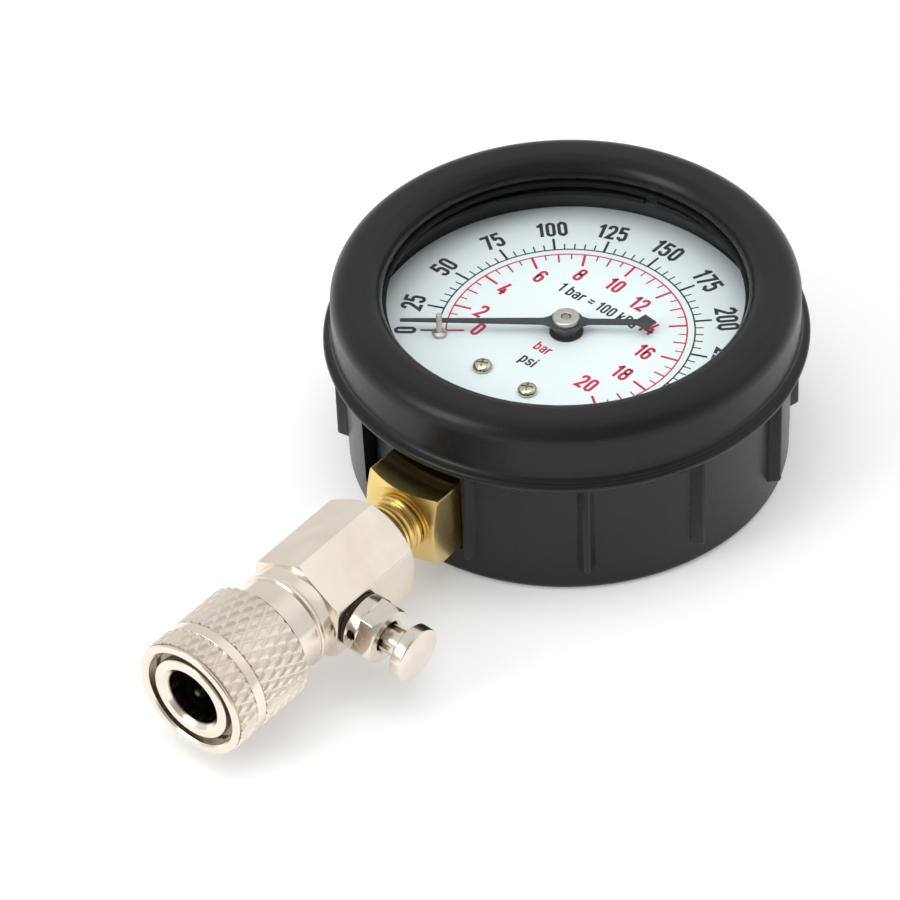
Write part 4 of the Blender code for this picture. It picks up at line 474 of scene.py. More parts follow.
def prism(name: str, outline: list[Point], low: float, high: float, bevel: float = 0.0) -> Piece:
    """Stand an outline up between two heights, its edges bevelled."""
    shape = bmesh.new()
    face = shape.faces.new([shape.verts.new((x, y, low)) for x, y in outline])
    raised = bmesh.ops.extrude_face_region(shape, geom=[face])
    verts = [item for item in raised["geom"] if isinstance(item, bmesh.types.BMVert)]
    bmesh.ops.translate(shape, vec=(0, 0, high - low), verts=verts)
    bmesh.ops.recalc_face_normals(shape, faces=shape.faces)
    if bevel > 0.0:
        sharp = [edge for edge in shape.edges if edge.calc_face_angle(0.0) > math.radians(25)]
        bmesh.ops.bevel(shape, geom=sharp, offset=bevel, segments=2, affect="EDGES", profile=0.5)
    return mesh_object(name, shape)


def block(name: str, low: tuple, high: tuple, bevel: float = 0.0) -> Piece:
    """Box between two corners, with bevelled edges."""
    outline = [(low[0], low[1]), (high[0], low[1]), (high[0], high[1]), (low[0], high[1])]
    return prism(name, outline, low[2], high[2], bevel)


def plain_mesh(made: Piece) -> None:
    """Turn an object's modifiers into its mesh."""
    graph = bpy.context.evaluated_depsgraph_get()
    mesh = bpy.data.meshes.new_from_object(made.evaluated_get(graph))
    made.modifiers.clear()
    made.data = mesh


def combine(made: Piece, tool: Piece, operation: str) -> None:
    """Join, cut or intersect with a tool, which is used up."""
    modifier = made.modifiers.new("combine", "BOOLEAN")
    modifier.operation = operation
    modifier.solver = "EXACT"
    modifier.object = tool
    bpy.context.view_layer.update()
    plain_mesh(made)
    bpy.data.objects.remove(tool)


def moved(made: Piece, matrix: Matrix) -> Piece:
    """Move an object's mesh and leave its origin where it is."""
    made.data.transform(matrix)
    return made


def hexagon(corner: float, turn: float) -> list[Point]:
    """Outline of a hexagon, by its corners' radius and the first one's angle in degrees."""
    angles = [math.radians(step + turn) for step in range(0, 360, 60)]
    return [(corner * math.cos(angle), corner * math.sin(angle)) for angle in angles]


def polar(radius: float, angle: float, height: float = 0.0) -> Matrix:
    """Move to a place at an angle in radians round the Z axis."""
    return Matrix.Translation((radius * math.cos(angle), radius * math.sin(angle), height))


INK_THICKNESS = 0.03
INK_STEP = 0.0015                          # between the undersides of strokes that cross
INK_MIDDLE = DIAL_TOP + INK_THICKNESS / 2
LETTER_GAP = 0.115                         # between characters, as a share of their height
FITTING_LOW = DIAL_TOP + 0.12              # underside of the screws' heads and the pin's foot

# Strokes of each character on a body one unit high. A stroke is (closed, corners) and a
# corner is (x, y, radius); the list starts with the character's width.
GLYPHS: dict[str, tuple] = {
    "0": (0.46, (True, [(0.07, 0.07, 0.16), (0.39, 0.07, 0.16), (0.39, 0.93, 0.16), (0.07, 0.93, 0.16)])),
    "1": (0.33, (False, [(0.02, 0.73), (0.25, 0.92)]), (False, [(0.23, 0.0), (0.23, 1.0)])),
    "2": (0.46, (False, [(0.07, 0.7), (0.07, 0.93, 0.16), (0.39, 0.93, 0.16), (0.39, 0.58, 0.14),
                         (0.08, 0.07), (0.45, 0.07)])),
    "3": (0.46,
          (False, [(0.07, 0.74), (0.07, 0.93, 0.16), (0.38, 0.93, 0.16), (0.38, 0.53, 0.13), (0.18, 0.53)]),
          (False, [(0.18, 0.53), (0.39, 0.53, 0.14), (0.39, 0.07, 0.16), (0.07, 0.07, 0.16), (0.07, 0.27)])),
    "4": (0.48, (False, [(0.3, 1.0), (0.08, 0.26), (0.48, 0.26)]), (False, [(0.33, 0.0), (0.33, 0.56)])),
    "5": (0.46, (False, [(0.43, 0.93), (0.09, 0.93), (0.07, 0.5)]),
          (False, [(0.07, 0.5), (0.12, 0.6, 0.1), (0.39, 0.62, 0.15), (0.39, 0.07, 0.16), (0.07, 0.07, 0.16),
                   (0.07, 0.26)])),
    "6": (0.46, (True, [(0.07, 0.07, 0.16), (0.39, 0.07, 0.16), (0.39, 0.58, 0.16), (0.07, 0.58, 0.16)]),
          (False, [(0.07, 0.32), (0.07, 0.93, 0.16), (0.39, 0.93, 0.16), (0.39, 0.76)])),
    "7": (0.44, (False, [(0.0, 0.93), (0.38, 0.93), (0.15, 0.0)])),
    "8": (0.46, (True, [(0.07, 0.07, 0.16), (0.39, 0.07, 0.16), (0.39, 0.53, 0.14), (0.07, 0.53, 0.14)]),
          (True, [(0.09, 0.53, 0.14), (0.37, 0.53, 0.14), (0.37, 0.93, 0.14), (0.09, 0.93, 0.14)])),
    "9": (0.46, (True, [(0.07, 0.42, 0.16), (0.39, 0.42, 0.16), (0.39, 0.93, 0.16), (0.07, 0.93, 0.16)]),
          (False, [(0.39, 0.68), (0.39, 0.07, 0.16), (0.07, 0.07, 0.16), (0.07, 0.24)])),
    "a": (0.46, (False, [(0.08, 0.55), (0.08, 0.69, 0.13), (0.39, 0.69, 0.13), (0.39, 0.0)]),
          (False, [(0.39, 0.41), (0.07, 0.41, 0.13), (0.07, 0.07, 0.13), (0.39, 0.07)])),
    "b": (0.46, (False, [(0.07, 0.0), (0.07, 1.0)]),
          (False, [(0.07, 0.69), (0.39, 0.69, 0.15), (0.39, 0.07, 0.15), (0.07, 0.07)])),
    "i": (0.16, (False, [(0.08, 0.0), (0.08, 0.75)]), (False, [(0.08, 0.85), (0.08, 1.0)])),
    "k": (0.46, (False, [(0.07, 0.0), (0.07, 1.0)]), (False, [(0.08, 0.28), (0.4, 0.75)]),
          (False, [(0.19, 0.44), (0.42, 0.0)])),
    "p": (0.46, (False, [(0.07, -0.25), (0.07, 0.75)]),
          (False, [(0.07, 0.69), (0.39, 0.69, 0.15), (0.39, 0.07, 0.15), (0.07, 0.07)])),
    "r": (0.33, (False, [(0.07, 0.0), (0.07, 0.75)]),
          (False, [(0.07, 0.45), (0.07, 0.69, 0.14), (0.33, 0.69)])),
    "s": (0.44, (False, [(0.38, 0.57), (0.38, 0.69, 0.11), (0.07, 0.69, 0.12), (0.07, 0.4, 0.12),
                         (0.38, 0.36, 0.12), (0.38, 0.07, 0.12), (0.07, 0.07, 0.11), (0.07, 0.2)])),
    "P": (0.48, (False, [(0.07, 0.0), (0.07, 1.0)]),
          (False, [(0.07, 0.93), (0.41, 0.93, 0.18), (0.41, 0.46, 0.18), (0.07, 0.46)])),
    "=": (0.48, (False, [(0.02, 0.62), (0.46, 0.62)]), (False, [(0.02, 0.36), (0.46, 0.36)])),
    " ": (0.16,),
}


def stroke(shape: bmesh.types.BMesh, path: list[Point], half: float, low: float, closed: bool) -> None:
    """Add a flat ribbon of even width along a path.

    Args:
        shape: the mesh to add to.
        path: the ribbon's middle line.
        half: half its width.
        low: height of its underside.
        closed: whether the path's end joins its start.
    """
    count = len(path)
    spots = [Vector(point) for point in path]
    sections = []
    for index, spot in enumerate(spots):
        before = spots[index - 1] if closed or index > 0 else None
        after = spots[(index + 1) % count] if closed or index < count - 1 else None
        into = (spot - before).normalized() if before is not None else (after - spot).normalized()
        out = (after - spot).normalized() if after is not None else into
        middle = (into + out).normalized()
        side = Vector((-middle.y, middle.x)) * (half / max(0.5, middle.dot(into)))
        corners = (spot + side, spot - side)
        sections.append(
            [shape.verts.new((*corner, height)) for corner in corners for height in (low, INK_THICKNESS / 2)]
        )
    for index in range(count if closed else count - 1):
        here, there = sections[index], sections[(index + 1) % count]
        for first, second in ((0, 1), (1, 3), (3, 2), (2, 0)):
            shape.faces.new((here[first], here[second], there[second], there[first]))
    if not closed:
        for section in (sections[0], sections[-1]):
            shape.faces.new((section[0], section[1], section[3], section[2]))


def lettering(name: str, text: str, height: float, squeeze: float, weight: float) -> Piece:
    """Write a word as thin closed ribbons centred on the origin.

    Args:
        name: the object's name.
        text: what it says.
        height: height of a capital or digit.
        squeeze: width of the characters, as a share of their drawn width.
        weight: width of a stroke, as a share of the height.

    Returns:
        The mesh object.
    """
    total = sum(GLYPHS[letter][0] for letter in text) * squeeze + LETTER_GAP * (len(text) - 1)
    left = -total / 2
    shape = bmesh.new()
    lift = 0
    for letter in text:
        width, *strokes = GLYPHS[letter]
        for closed, corners in strokes:
            placed = [
                (
                    (left + x * squeeze) * height, (y - 0.5) * height,
                    (rest[0] if rest else 0.0) * height * squeeze,
                )
                for x, y, *rest in corners
            ]
            low = -INK_THICKNESS / 2 + INK_STEP * (lift % 3)
            stroke(shape, rounded(placed, 5, closed), weight * height / 2, low, closed)
            lift += 1
        left += width * squeeze + LETTER_GAP
    return mesh_object(name, shape, weld=False)


def clipped(made: Piece, low: float, high: float) -> Piece:
    """Cut a mesh off straight at two heights and close the cuts."""
    shape = bmesh.new()
    shape.from_mesh(made.data)
    for height, side in ((low, -1.0), (high, 1.0)):
        everything = shape.verts[:] + shape.edges[:] + shape.faces[:]
        cut = bmesh.ops.bisect_plane(
            shape, geom=everything, plane_co=(0, 0, height), plane_no=(0, 0, side), clear_outer=True,
        )
        edges = [item for item in cut["geom_cut"] if isinstance(item, bmesh.types.BMEdge)]
        bmesh.ops.edgeloop_fill(shape, edges=edges)
    bmesh.ops.recalc_face_normals(shape, faces=shape.faces)
    shape.to_mesh(made.data)
    shape.free()
    return made


def joined(name: str, parts: list[Piece]) -> Piece:
    """Gather several meshes into one object."""
    shape = bmesh.new()
    for part in parts:
        shape.from_mesh(part.data)
        bpy.data.objects.remove(part)
    return mesh_object(name, shape)


class Growth(Nodes):
    """A Geometry Nodes tree with named inputs, grown into a plain mesh."""

    def __init__(self, name: str) -> None:
        """Start a tree that takes and returns geometry."""
        super().__init__(bpy.data.node_groups.new(name, "GeometryNodeTree"))
        self.sockets: dict[str, str] = {}
        for direction in ("INPUT", "OUTPUT"):
            self.tree.interface.new_socket("Geometry", in_out=direction, socket_type="NodeSocketGeometry")
        self.entry = self.node("NodeGroupInput")
        self.exit = self.node("NodeGroupOutput")

    def named(self, name: str, kind: str = "NodeSocketFloat") -> Socket:
        """Add a named input and return its socket inside the tree."""
        socket = self.tree.interface.new_socket(name, in_out="INPUT", socket_type=kind)
        self.sockets[name] = socket.identifier
        return self.entry.outputs[name]

    def index_angle(self) -> Socket:
        """Angle of each copy, from the inputs First and Step in radians."""
        index = self.node("GeometryNodeInputIndex").outputs[0]
        return self.math("ADD", self.named("First"), self.math("MULTIPLY", self.named("Step"), index))

    def on_circle(self, radius: Socket, angle: Socket, height: Socket) -> Socket:
        """Place at an angle on a circle round the local Z axis."""
        across = (self.math("MULTIPLY", radius, self.math(turn, angle)) for turn in ("COSINE", "SINE"))
        return self.vector(*across, height)

    def points(self, count: Socket, position: Socket) -> Socket:
        """Make so many points and place them by their index."""
        line = self.node("GeometryNodeMeshLine", {"Count": count})
        sources = {"Geometry": line.outputs["Mesh"], "Position": position}
        return self.node("GeometryNodeSetPosition", sources).outputs["Geometry"]

    def scatter(
        self, points: Socket, instance: Socket, rotation: Socket, scale: object = (1.0, 1.0, 1.0),
    ) -> Socket:
        """Put a copy of the instance on each point."""
        turn = self.node("FunctionNodeEulerToRotation", {"Euler": rotation}).outputs["Rotation"]
        sources = {"Points": points, "Instance": instance, "Rotation": turn, "Scale": scale}
        return self.node("GeometryNodeInstanceOnPoints", sources).outputs["Instances"]

    def close(self, geometry: Socket) -> None:
        """End the tree with real geometry that carries its material."""
        real = self.node("GeometryNodeRealizeInstances", {"Geometry": geometry}).outputs["Geometry"]
        sources = {"Geometry": real, "Material": self.named("Material", "NodeSocketMaterial")}
        self.feed(self.exit, {"Geometry": self.node("GeometryNodeSetMaterial", sources).outputs["Geometry"]})

    def grow(self, name: str, finish: Surface, seed: Piece | None = None, **values: object) -> Piece:
        """Run the tree once.

        Args:
            name: the new object's name.
            finish: the surface of what grows.
            seed: an object whose mesh the tree repeats, which is used up.
            values: the tree's inputs by name, with _ for a space.

        Returns:
            A plain mesh object without modifiers.
        """
        made = seed or shown(bpy.data.objects.new(name, bpy.data.meshes.new(name)))
        made.name = name
        modifier = made.modifiers.new("growth", "NODES")
        modifier.node_group = self.tree
        for key, value in {**values, "Material": finish.material()}.items():
            modifier[self.sockets[key.replace("_", " ")]] = value
        bpy.context.view_layer.update()
        plain_mesh(made)
        shape = bmesh.new()
        shape.from_mesh(made.data)
        bmesh.ops.recalc_face_normals(shape, faces=shape.faces)
        shape.to_mesh(made.data)
        shape.free()
        return made


def scale_marks() -> Growth:
    """Tree of the short bars of a scale, standing along radii."""
    growth = Growth("scale_marks")
    count = growth.named("Count", "NodeSocketInt")
    angle = growth.index_angle()
    inner, outer = growth.named("Inner"), growth.named("Outer")
    middle = growth.math("MULTIPLY", growth.math("ADD", inner, outer), 0.5)
    spot = growth.on_circle(middle, angle, growth.named("Height"))
    length = growth.math("SUBTRACT", outer, inner)
    size = growth.vector(length, growth.named("Width"), growth.named("Thickness"))
    bar = growth.node("GeometryNodeMeshCube", {"Size": size}).outputs["Mesh"]
    growth.close(growth.scatter(growth.points(count, spot), bar, growth.vector(0.0, 0.0, angle)))
    return growth


def round_copies() -> Growth:
    """Tree that repeats a mesh round the local Z axis."""
    growth = Growth("round_copies")
    count = growth.named("Count", "NodeSocketInt")
    turn = growth.vector(0.0, 0.0, growth.index_angle())
    points = growth.points(count, growth.vector(0.0, 0.0, 0.0))
    growth.close(growth.scatter(points, growth.entry.outputs["Geometry"], turn))
    return growth


def diamond_knurl() -> Growth:
    """Tree of staggered four-sided points on a cylinder about the local Z axis."""
    growth = Growth("diamond_knurl")
    columns = growth.named("Columns", "NodeSocketInt")
    rows = growth.named("Rows", "NodeSocketInt")
    index = growth.node("GeometryNodeInputIndex").outputs[0]
    row = growth.math("FLOOR", growth.math("DIVIDE", growth.math("ADD", index, 0.5), columns))
    stagger = growth.math("MULTIPLY", growth.math("MODULO", row, 2.0), 0.5)
    in_row = growth.math("SUBTRACT", index, growth.math("MULTIPLY", row, columns))
    column = growth.math("ADD", in_row, stagger)
    angle = growth.math("DIVIDE", growth.math("MULTIPLY", column, 2 * math.pi), columns)
    along = growth.math("ADD", growth.named("Start"), growth.math("MULTIPLY", row, growth.named("Pitch")))
    spot = growth.on_circle(growth.named("Radius"), angle, along)
    sources = {"Vertices": 4, "Radius Top": growth.named("Tip"), "Radius Bottom": 1.0, "Depth": 1.0}
    point = growth.node("GeometryNodeMeshCone", sources, fill_type="NGON").outputs["Mesh"]
    size = growth.vector(growth.named("Half length"), growth.named("Half width"), growth.named("Relief"))
    points = growth.points(growth.math("MULTIPLY", rows, columns), spot)
    growth.close(growth.scatter(points, point, growth.vector(0.0, math.pi / 2, angle), size))
    return growth


def screw_thread() -> Growth:
    """Tree of one helical ridge about the local Z axis."""
    growth = Growth("screw_thread")
    radius = growth.named("Radius")
    helix = growth.node("GeometryNodeCurveSpiral", {
        "Resolution": growth.named("Points", "NodeSocketInt"), "Rotations": growth.named("Turns"),
        "Start Radius": radius, "End Radius": radius, "Height": growth.named("Length"),
    })
    section = {"Resolution": 6, "Radius": growth.named("Ridge")}
    ridge = growth.node("GeometryNodeCurvePrimitiveCircle", section)
    sources = {"Curve": helix.outputs["Curve"], "Profile Curve": ridge.outputs["Curve"], "Fill Caps": True}
    growth.close(growth.node("GeometryNodeCurveToMesh", sources).outputs["Mesh"])
    return growth


MARKS, COPIES, KNURL, THREAD = scale_marks(), round_copies(), diamond_knurl(), screw_thread()


def repeated(
    name: str, seed: Piece, count: int, finish: Surface, first: float = 0.0, places: int = 0,
) -> Piece:
    """Repeat a piece round the local Z axis.

    Args:
        name: the new object's name.
        seed: the piece, which is used up.
        count: how many copies.
        finish: their surface.
        first: angle of the first copy in degrees.
        places: how many copies would fill the turn, where that isn't count.

    Returns:
        The copies as one mesh.
    """
    step = 2 * math.pi / (places or count)
    return COPIES.grow(name, finish, seed, Count=count, First=math.radians(first), Step=step)


def dress(
    made: Piece, finish: Surface, frame: Matrix = UPRIGHT, stands_for: tuple[str, ...] = (),
    smooth: float = 32.0, body: Body = Body.FRAME,
) -> Piece:
    """Put a finished piece in place, attach it to its body and hide the solids it replaces.

    Args:
        made: the piece, in millimetres in its own frame.
        finish: its surface.
        frame: where its own frame lies in the part, in millimetres.
        stands_for: the solids that it replaces.
        smooth: faces that meet at a smaller angle in degrees shade as one.
        body: the rigid group that it moves with.

    Returns:
        The same object.
    """
    made.data.transform(Matrix.Scale(MM, 4) @ frame)
    made.data.materials.clear()
    made.data.materials.append(finish.material())
    made.data.polygons.foreach_set("use_smooth", [True] * len(made.data.polygons))
    made.data.polygons.foreach_set("material_index", [0] * len(made.data.polygons))
    made.data.set_sharp_from_angle(angle=math.radians(smooth))
    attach(made, body.value)
    if stands_for:
        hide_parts(*stands_for)
    LOG.info("%s: %d faces", made.name, len(made.data.polygons))
    return made


@dataclass(frozen=True)
class RubberBoot:
    """Moulded boot: ribbed cup, thin flange, thick upper ring and lip."""

    cup_inner: float = 34.3
    cup_outer: float = 37.1
    base_outer: float = 36.8
    base_round: float = 1.5
    floor: float = 2.0
    ledge: float = 21.92
    pocket: float = 35.5
    ring_outer: float = 38.5
    fillet: float = 1.1
    flange_outer: float = 40.0
    flange_low: float = 23.52
    flange_high: float = 25.42
    flange_edge: float = 0.25
    opening: float = 29.9
    lip_low: float = 32.02
    lip_round: float = 3.0
    lip_under: float = 0.35
    crest: float = 35.52
    shoulder: float = 3.3
    rib_width: float = 2.0
    rib_height: float = 1.5
    rib_foot: float = 5.2
    rib_count: int = 12
    rib_first: float = -77.5
    rib_root: float = 1.0
    rib_steps: int = 16
    slot_low: Triple = (-16.5, -42.0, 5.7)
    slot_high: Triple = (7.3, -29.3, 21.52)

    def profile(self) -> list[Point]:
        """Section of the turned rubber, from the floor's centre outwards and back."""
        shoulder_centre = (self.ring_outer - self.shoulder, self.crest - self.shoulder)
        nose = (self.flange_high - self.flange_low) / 2 - self.flange_edge
        inside = [(0, self.floor), (self.cup_inner, self.floor, 0.4), (self.cup_inner, self.ledge)]
        outside = [
            (self.flange_outer - nose, self.flange_low), (self.cup_outer, self.flange_low, 0.6),
            (self.base_outer, self.base_round),
        ]
        under, lip, fillet = self.lip_under, self.lip_round, self.fillet
        return [
            *rounded(inside, closed=False),
            (self.pocket, self.ledge), (self.pocket, self.lip_low),
            *arc((self.opening + under, self.lip_low + under), under, 270, 180, 4),
            *arc((self.opening + lip, self.crest - lip), lip, 180, 92, 12),
            *arc(shoulder_centre, self.shoulder, 90, 0, 14),
            *arc((self.ring_outer + fillet, self.flange_high + fillet), fillet, 180, 262, 6),
            *arc((self.flange_outer - nose, self.flange_high - nose), nose, 80, -60, 8),
            *rounded(outside, closed=False),
            *arc((self.base_outer - self.base_round, self.base_round), self.base_round, 0, -90, 8),
            (0.0, 0.0),
        ]

    def rib_outline(self) -> list[Point]:
        """Rounded section of a rib that swells out of the wall, its crest along +X."""
        spread = self.rib_width * 0.75
        outline = [(self.base_outer - self.rib_root, -spread)]
        for step in range(self.rib_steps + 1):
            share = step / self.rib_steps
            swell = (0.5 - 0.5 * math.cos(2 * math.pi * share)) ** 0.8
            reach = self.base_outer + 0.1 + (self.rib_height + 0.2) * swell
            outline.append((reach, spread * (2 * share - 1)))
        return outline + [(self.base_outer - self.rib_root, spread)]

    def build(self) -> None:
        """Turn the boot, cut its slot and put its ribs on."""
        boot = revolve("boot_moulding", self.profile(), 192)
        combine(boot, block("slot_tool", self.slot_low, self.slot_high), "DIFFERENCE")
        dress(boot, BOOT_RUBBER, stands_for=("rubber_boot",))
        rib = prism("boot_ribs", self.rib_outline(), self.rib_foot, self.flange_low + 0.5, 0.3)
        ribs = repeated("boot_ribs", rib, self.rib_count - 1, BOOT_RUBBER, self.rib_first, self.rib_count)
        dress(ribs, BOOT_RUBBER, smooth=50.0)


@dataclass(frozen=True)
class CaseAndWindow:
    """Pressed case with its bezel, window and the ring under the window."""

    radius: float = 34.0
    wall: float = 0.9
    corner: float = 1.6
    floor: float = 2.3
    rim: float = 27.22
    bezel_inner: float = 34.3
    bezel_outer: float = 35.2
    bezel_edge: float = 29.3
    bezel_low: float = 22.22
    lip_low: float = 30.92
    bezel_top: float = 31.72
    window_low: float = 28.82
    window_high: float = 30.62
    ring_outer: float = 33.7
    ring_inner: float = 31.1
    ring_low: float = 27.52
    ring_high: float = 28.52
    notch_turn: float = 101.0
    notch_half: float = 1.1
    notch_depth: float = 0.8
    block_half: Point = (7.3, 7.1)
    steps: int = 160

    def build(self) -> None:
        """Build the four pieces."""
        inner = self.radius - self.wall
        floor_top = self.floor + self.wall
        case = lathe("case_shell", [
            (0, floor_top), (inner, floor_top, self.corner - self.wall), (inner, self.rim, 0.2),
            (self.radius, self.rim, 0.2), (self.radius, self.floor, self.corner), (0, self.floor),
        ], self.steps, 6)
        across, rise = self.block_half
        low = (-across, -self.radius - 2, AXIS_HEIGHT - rise)
        high = (across, -inner + 5, AXIS_HEIGHT + rise)
        combine(case, block("case_hole", low, high), "DIFFERENCE")
        dress(case, CASE_PAINT, stands_for=("gauge_case",))
        bezel = lathe("bezel_band", [
            (self.bezel_inner, self.bezel_low), (self.bezel_inner, self.lip_low),
            (self.bezel_edge, self.lip_low, 0.2), (self.bezel_edge, self.bezel_top, 0.3),
            (self.bezel_outer, self.bezel_top, 0.8), (self.bezel_outer, self.bezel_low),
        ], self.steps, 5)
        dress(bezel, BEZEL_PAINT, stands_for=("bezel_ring",))
        pane = lathe("window_pane", [
            (0, self.window_high), (self.radius, self.window_high, 0.2), (self.radius, self.window_low, 0.2),
            (0, self.window_low),
        ], self.steps, 3)
        dress(pane, WINDOW_PANE, stands_for=("window",))
        ring = lathe("window_ring_seal", [
            (self.ring_inner, self.ring_low, 0.15), (self.ring_inner, self.ring_high, 0.25),
            (self.ring_outer, self.ring_high, 0.2), (self.ring_outer, self.ring_low, 0.2),
        ], self.steps, 3)
        low = (self.ring_inner - 1, -self.notch_half, self.ring_low - 1)
        notch = block("notch_tool", low, (self.ring_inner + self.notch_depth, self.notch_half, 30))
        combine(ring, moved(notch, Matrix.Rotation(math.radians(self.notch_turn), 4, "Z")), "DIFFERENCE")
        dress(ring, SEAL_RUBBER, stands_for=("window_ring",))


@dataclass(frozen=True)
class Scale:
    """One printed scale of the dial, with its pressures in a unit of its own.

    A row of marks is (first pressure, step, count, inner end, outer end, width), and a
    word is (text, place, height). The first number radius is the zero's.
    """

    name: str
    ink: Finish
    psi_per_unit: float
    circle: float
    end: float
    rows: tuple[tuple[float, float, int, float, float, float], ...]
    zero_ends: Point
    zero_number: float
    number_step: int
    number_radii: tuple[float, ...]
    number_height: float
    radial: bool
    words: tuple[tuple[str, Point, float], ...]


BLACK_SCALE = Scale(
    "black_print", BLACK_INK, psi_per_unit=1.0, circle=21.1, end=300.0,
    rows=((25.0, 25.0, 12, 21.1, 24.0, 0.42), (25.0, 5.0, 56, 21.1, 22.5, 0.23)),
    zero_ends=(21.1, 24.0), zero_number=218.0, number_step=25, number_radii=(26.5,) * 13, number_height=3.6,
    radial=True, words=(("psi", (0.0, -9.5), 2.25), ("1 bar = 100 kPa", (0.0, 8.3), 2.35)),
)
RED_SCALE = Scale(
    "red_print", RED_INK, psi_per_unit=14.5038, circle=19.8, end=20.0,
    rows=((2.0, 2.0, 10, 16.8, 19.8, 0.44), (3.0, 2.0, 9, 17.7, 19.8, 0.3), (1.5, 1.0, 19, 18.5, 19.8, 0.24)),
    zero_ends=(16.8, 19.8), zero_number=216.8, number_step=2,
    number_radii=(14.5, 14.9, 15.1, 14.7, 14.5, 14.1, 13.8, 13.5, 13.9, 14.0, 13.6), number_height=3.2,
    radial=False, words=(("bar", (-0.1, -5.7), 2.1),),
)


@dataclass(frozen=True)
class DialFace:
    """Dial plate with its two scales, numbers and screws."""

    radius: float = 32.6
    low: float = 23.42
    hole: float = 2.8
    zero_mark: float = 218.0
    zero_width: float = 0.42
    line_half: float = 0.13
    scale_start: float = 225.0
    degrees_per_psi: float = 0.9
    number_style: Point = (0.95, 0.165)
    word_style: Point = (0.98, 0.155)
    screw_radius: float = 16.3
    screw_spread: float = 17.0
    screw_head: float = 1.65
    screw_rise: float = 1.1
    screw_shank: float = 0.8
    screw_end: float = 20.42
    dome: tuple[Point, ...] = ((0.0, 1.0), (0.4, 0.97), (0.7, 0.84), (0.9, 0.6))
    cross_reach: float = 1.0
    cross_half: float = 0.2
    cross_turn: float = 28.0

    def angle(self, scale: Scale, pressure: float) -> float:
        """Angle in radians of a pressure on the dial."""
        return math.radians(self.scale_start - self.degrees_per_psi * (pressure * scale.psi_per_unit))

    def marks(self, scale: Scale, first: float, step: float, count: int, ends: Point, width: float) -> Piece:
        """Row of bars from a first angle, with their inner and outer ends."""
        return MARKS.grow(
            "marks", scale.ink, Count=count, First=first, Step=step, Inner=ends[0], Outer=ends[1],
            Width=width, Thickness=INK_THICKNESS, Height=INK_MIDDLE,
        )

    def number(self, scale: Scale, value: int, angle: float, radius: float) -> Piece:
        """One number on the dial, its top outwards or upright."""
        turn = angle - math.pi / 2 if scale.radial else 0.0
        made = lettering("number", str(value), scale.number_height, *self.number_style)
        return moved(made, polar(radius, angle, INK_MIDDLE) @ Matrix.Rotation(turn, 4, "Z"))

    def build_print(self, scale: Scale) -> None:
        """Circle, marks, numbers and words of one scale."""
        start, end = self.zero_mark, math.degrees(self.angle(scale, scale.end))
        high, low = scale.circle + self.line_half, scale.circle - self.line_half
        line = arc((0, 0), high, start, end, 120) + arc((0, 0), low, end, start, 120)
        parts = [prism("circle", line, DIAL_TOP, DIAL_TOP + INK_THICKNESS)]
        for first, step, count, inner, outer, width in scale.rows:
            pitch = -math.radians(self.degrees_per_psi * (step * scale.psi_per_unit))
            parts.append(self.marks(scale, self.angle(scale, first), pitch, count, (inner, outer), width))
        parts.append(self.marks(scale, math.radians(start), 0.0, 1, scale.zero_ends, self.zero_width))
        for index, radius in enumerate(scale.number_radii):
            value = index * scale.number_step
            angle = self.angle(scale, value) if value else math.radians(scale.zero_number)
            parts.append(self.number(scale, value, angle, radius))
        for text, place, height in scale.words:
            word = lettering("word", text, height, *self.word_style)
            parts.append(moved(word, Matrix.Translation((*place, INK_MIDDLE))))
        dress(joined(scale.name, parts), scale.ink, DIAL)

    def build(self) -> None:
        """Build the plate, the print and the screws."""
        plate = lathe("dial_disc", [
            (self.hole, self.low), (self.hole, DIAL_TOP, 0.1), (self.radius, DIAL_TOP, 0.1),
            (self.radius, self.low),
        ], 160, 2)
        dress(plate, DIAL_PAINT, stands_for=("dial_plate",))
        self.build_print(BLACK_SCALE)
        self.build_print(RED_SCALE)
        for side, name in ((-1, "left"), (1, "right")):
            self.build_screw(side, name)

    def build_screw(self, side: int, name: str) -> None:
        """Domed screw with a cross recess, on side -1 for the left and 1 for the right."""
        low = FITTING_LOW
        head, rise, shank = self.screw_head, self.screw_rise, self.screw_shank
        screw = lathe(f"dial_screw_{name}_head", [
            *((head * out, low + rise * up) for out, up in self.dome),
            (head, low + rise * 0.3, 0.1), (head, low, 0.1), (shank, low), (shank, self.screw_end),
            (0.0, self.screw_end),
        ], 48, 3)
        arm, half = self.cross_reach, self.cross_half
        outline = []
        for turn in range(4):
            spin = Matrix.Rotation(math.radians(self.cross_turn + 90 * turn), 2)
            outline += [tuple(spin @ Vector(corner)) for corner in ((arm, -half), (arm, half), (half, half))]
        combine(screw, prism("cross_tool", outline, low + 0.5, low + 3.0), "DIFFERENCE")
        place = polar(self.screw_radius, math.radians(-90.0 + side * self.screw_spread))
        dress(screw, SCREW_STEEL, DIAL @ place, (f"dial_screw_{name}",))


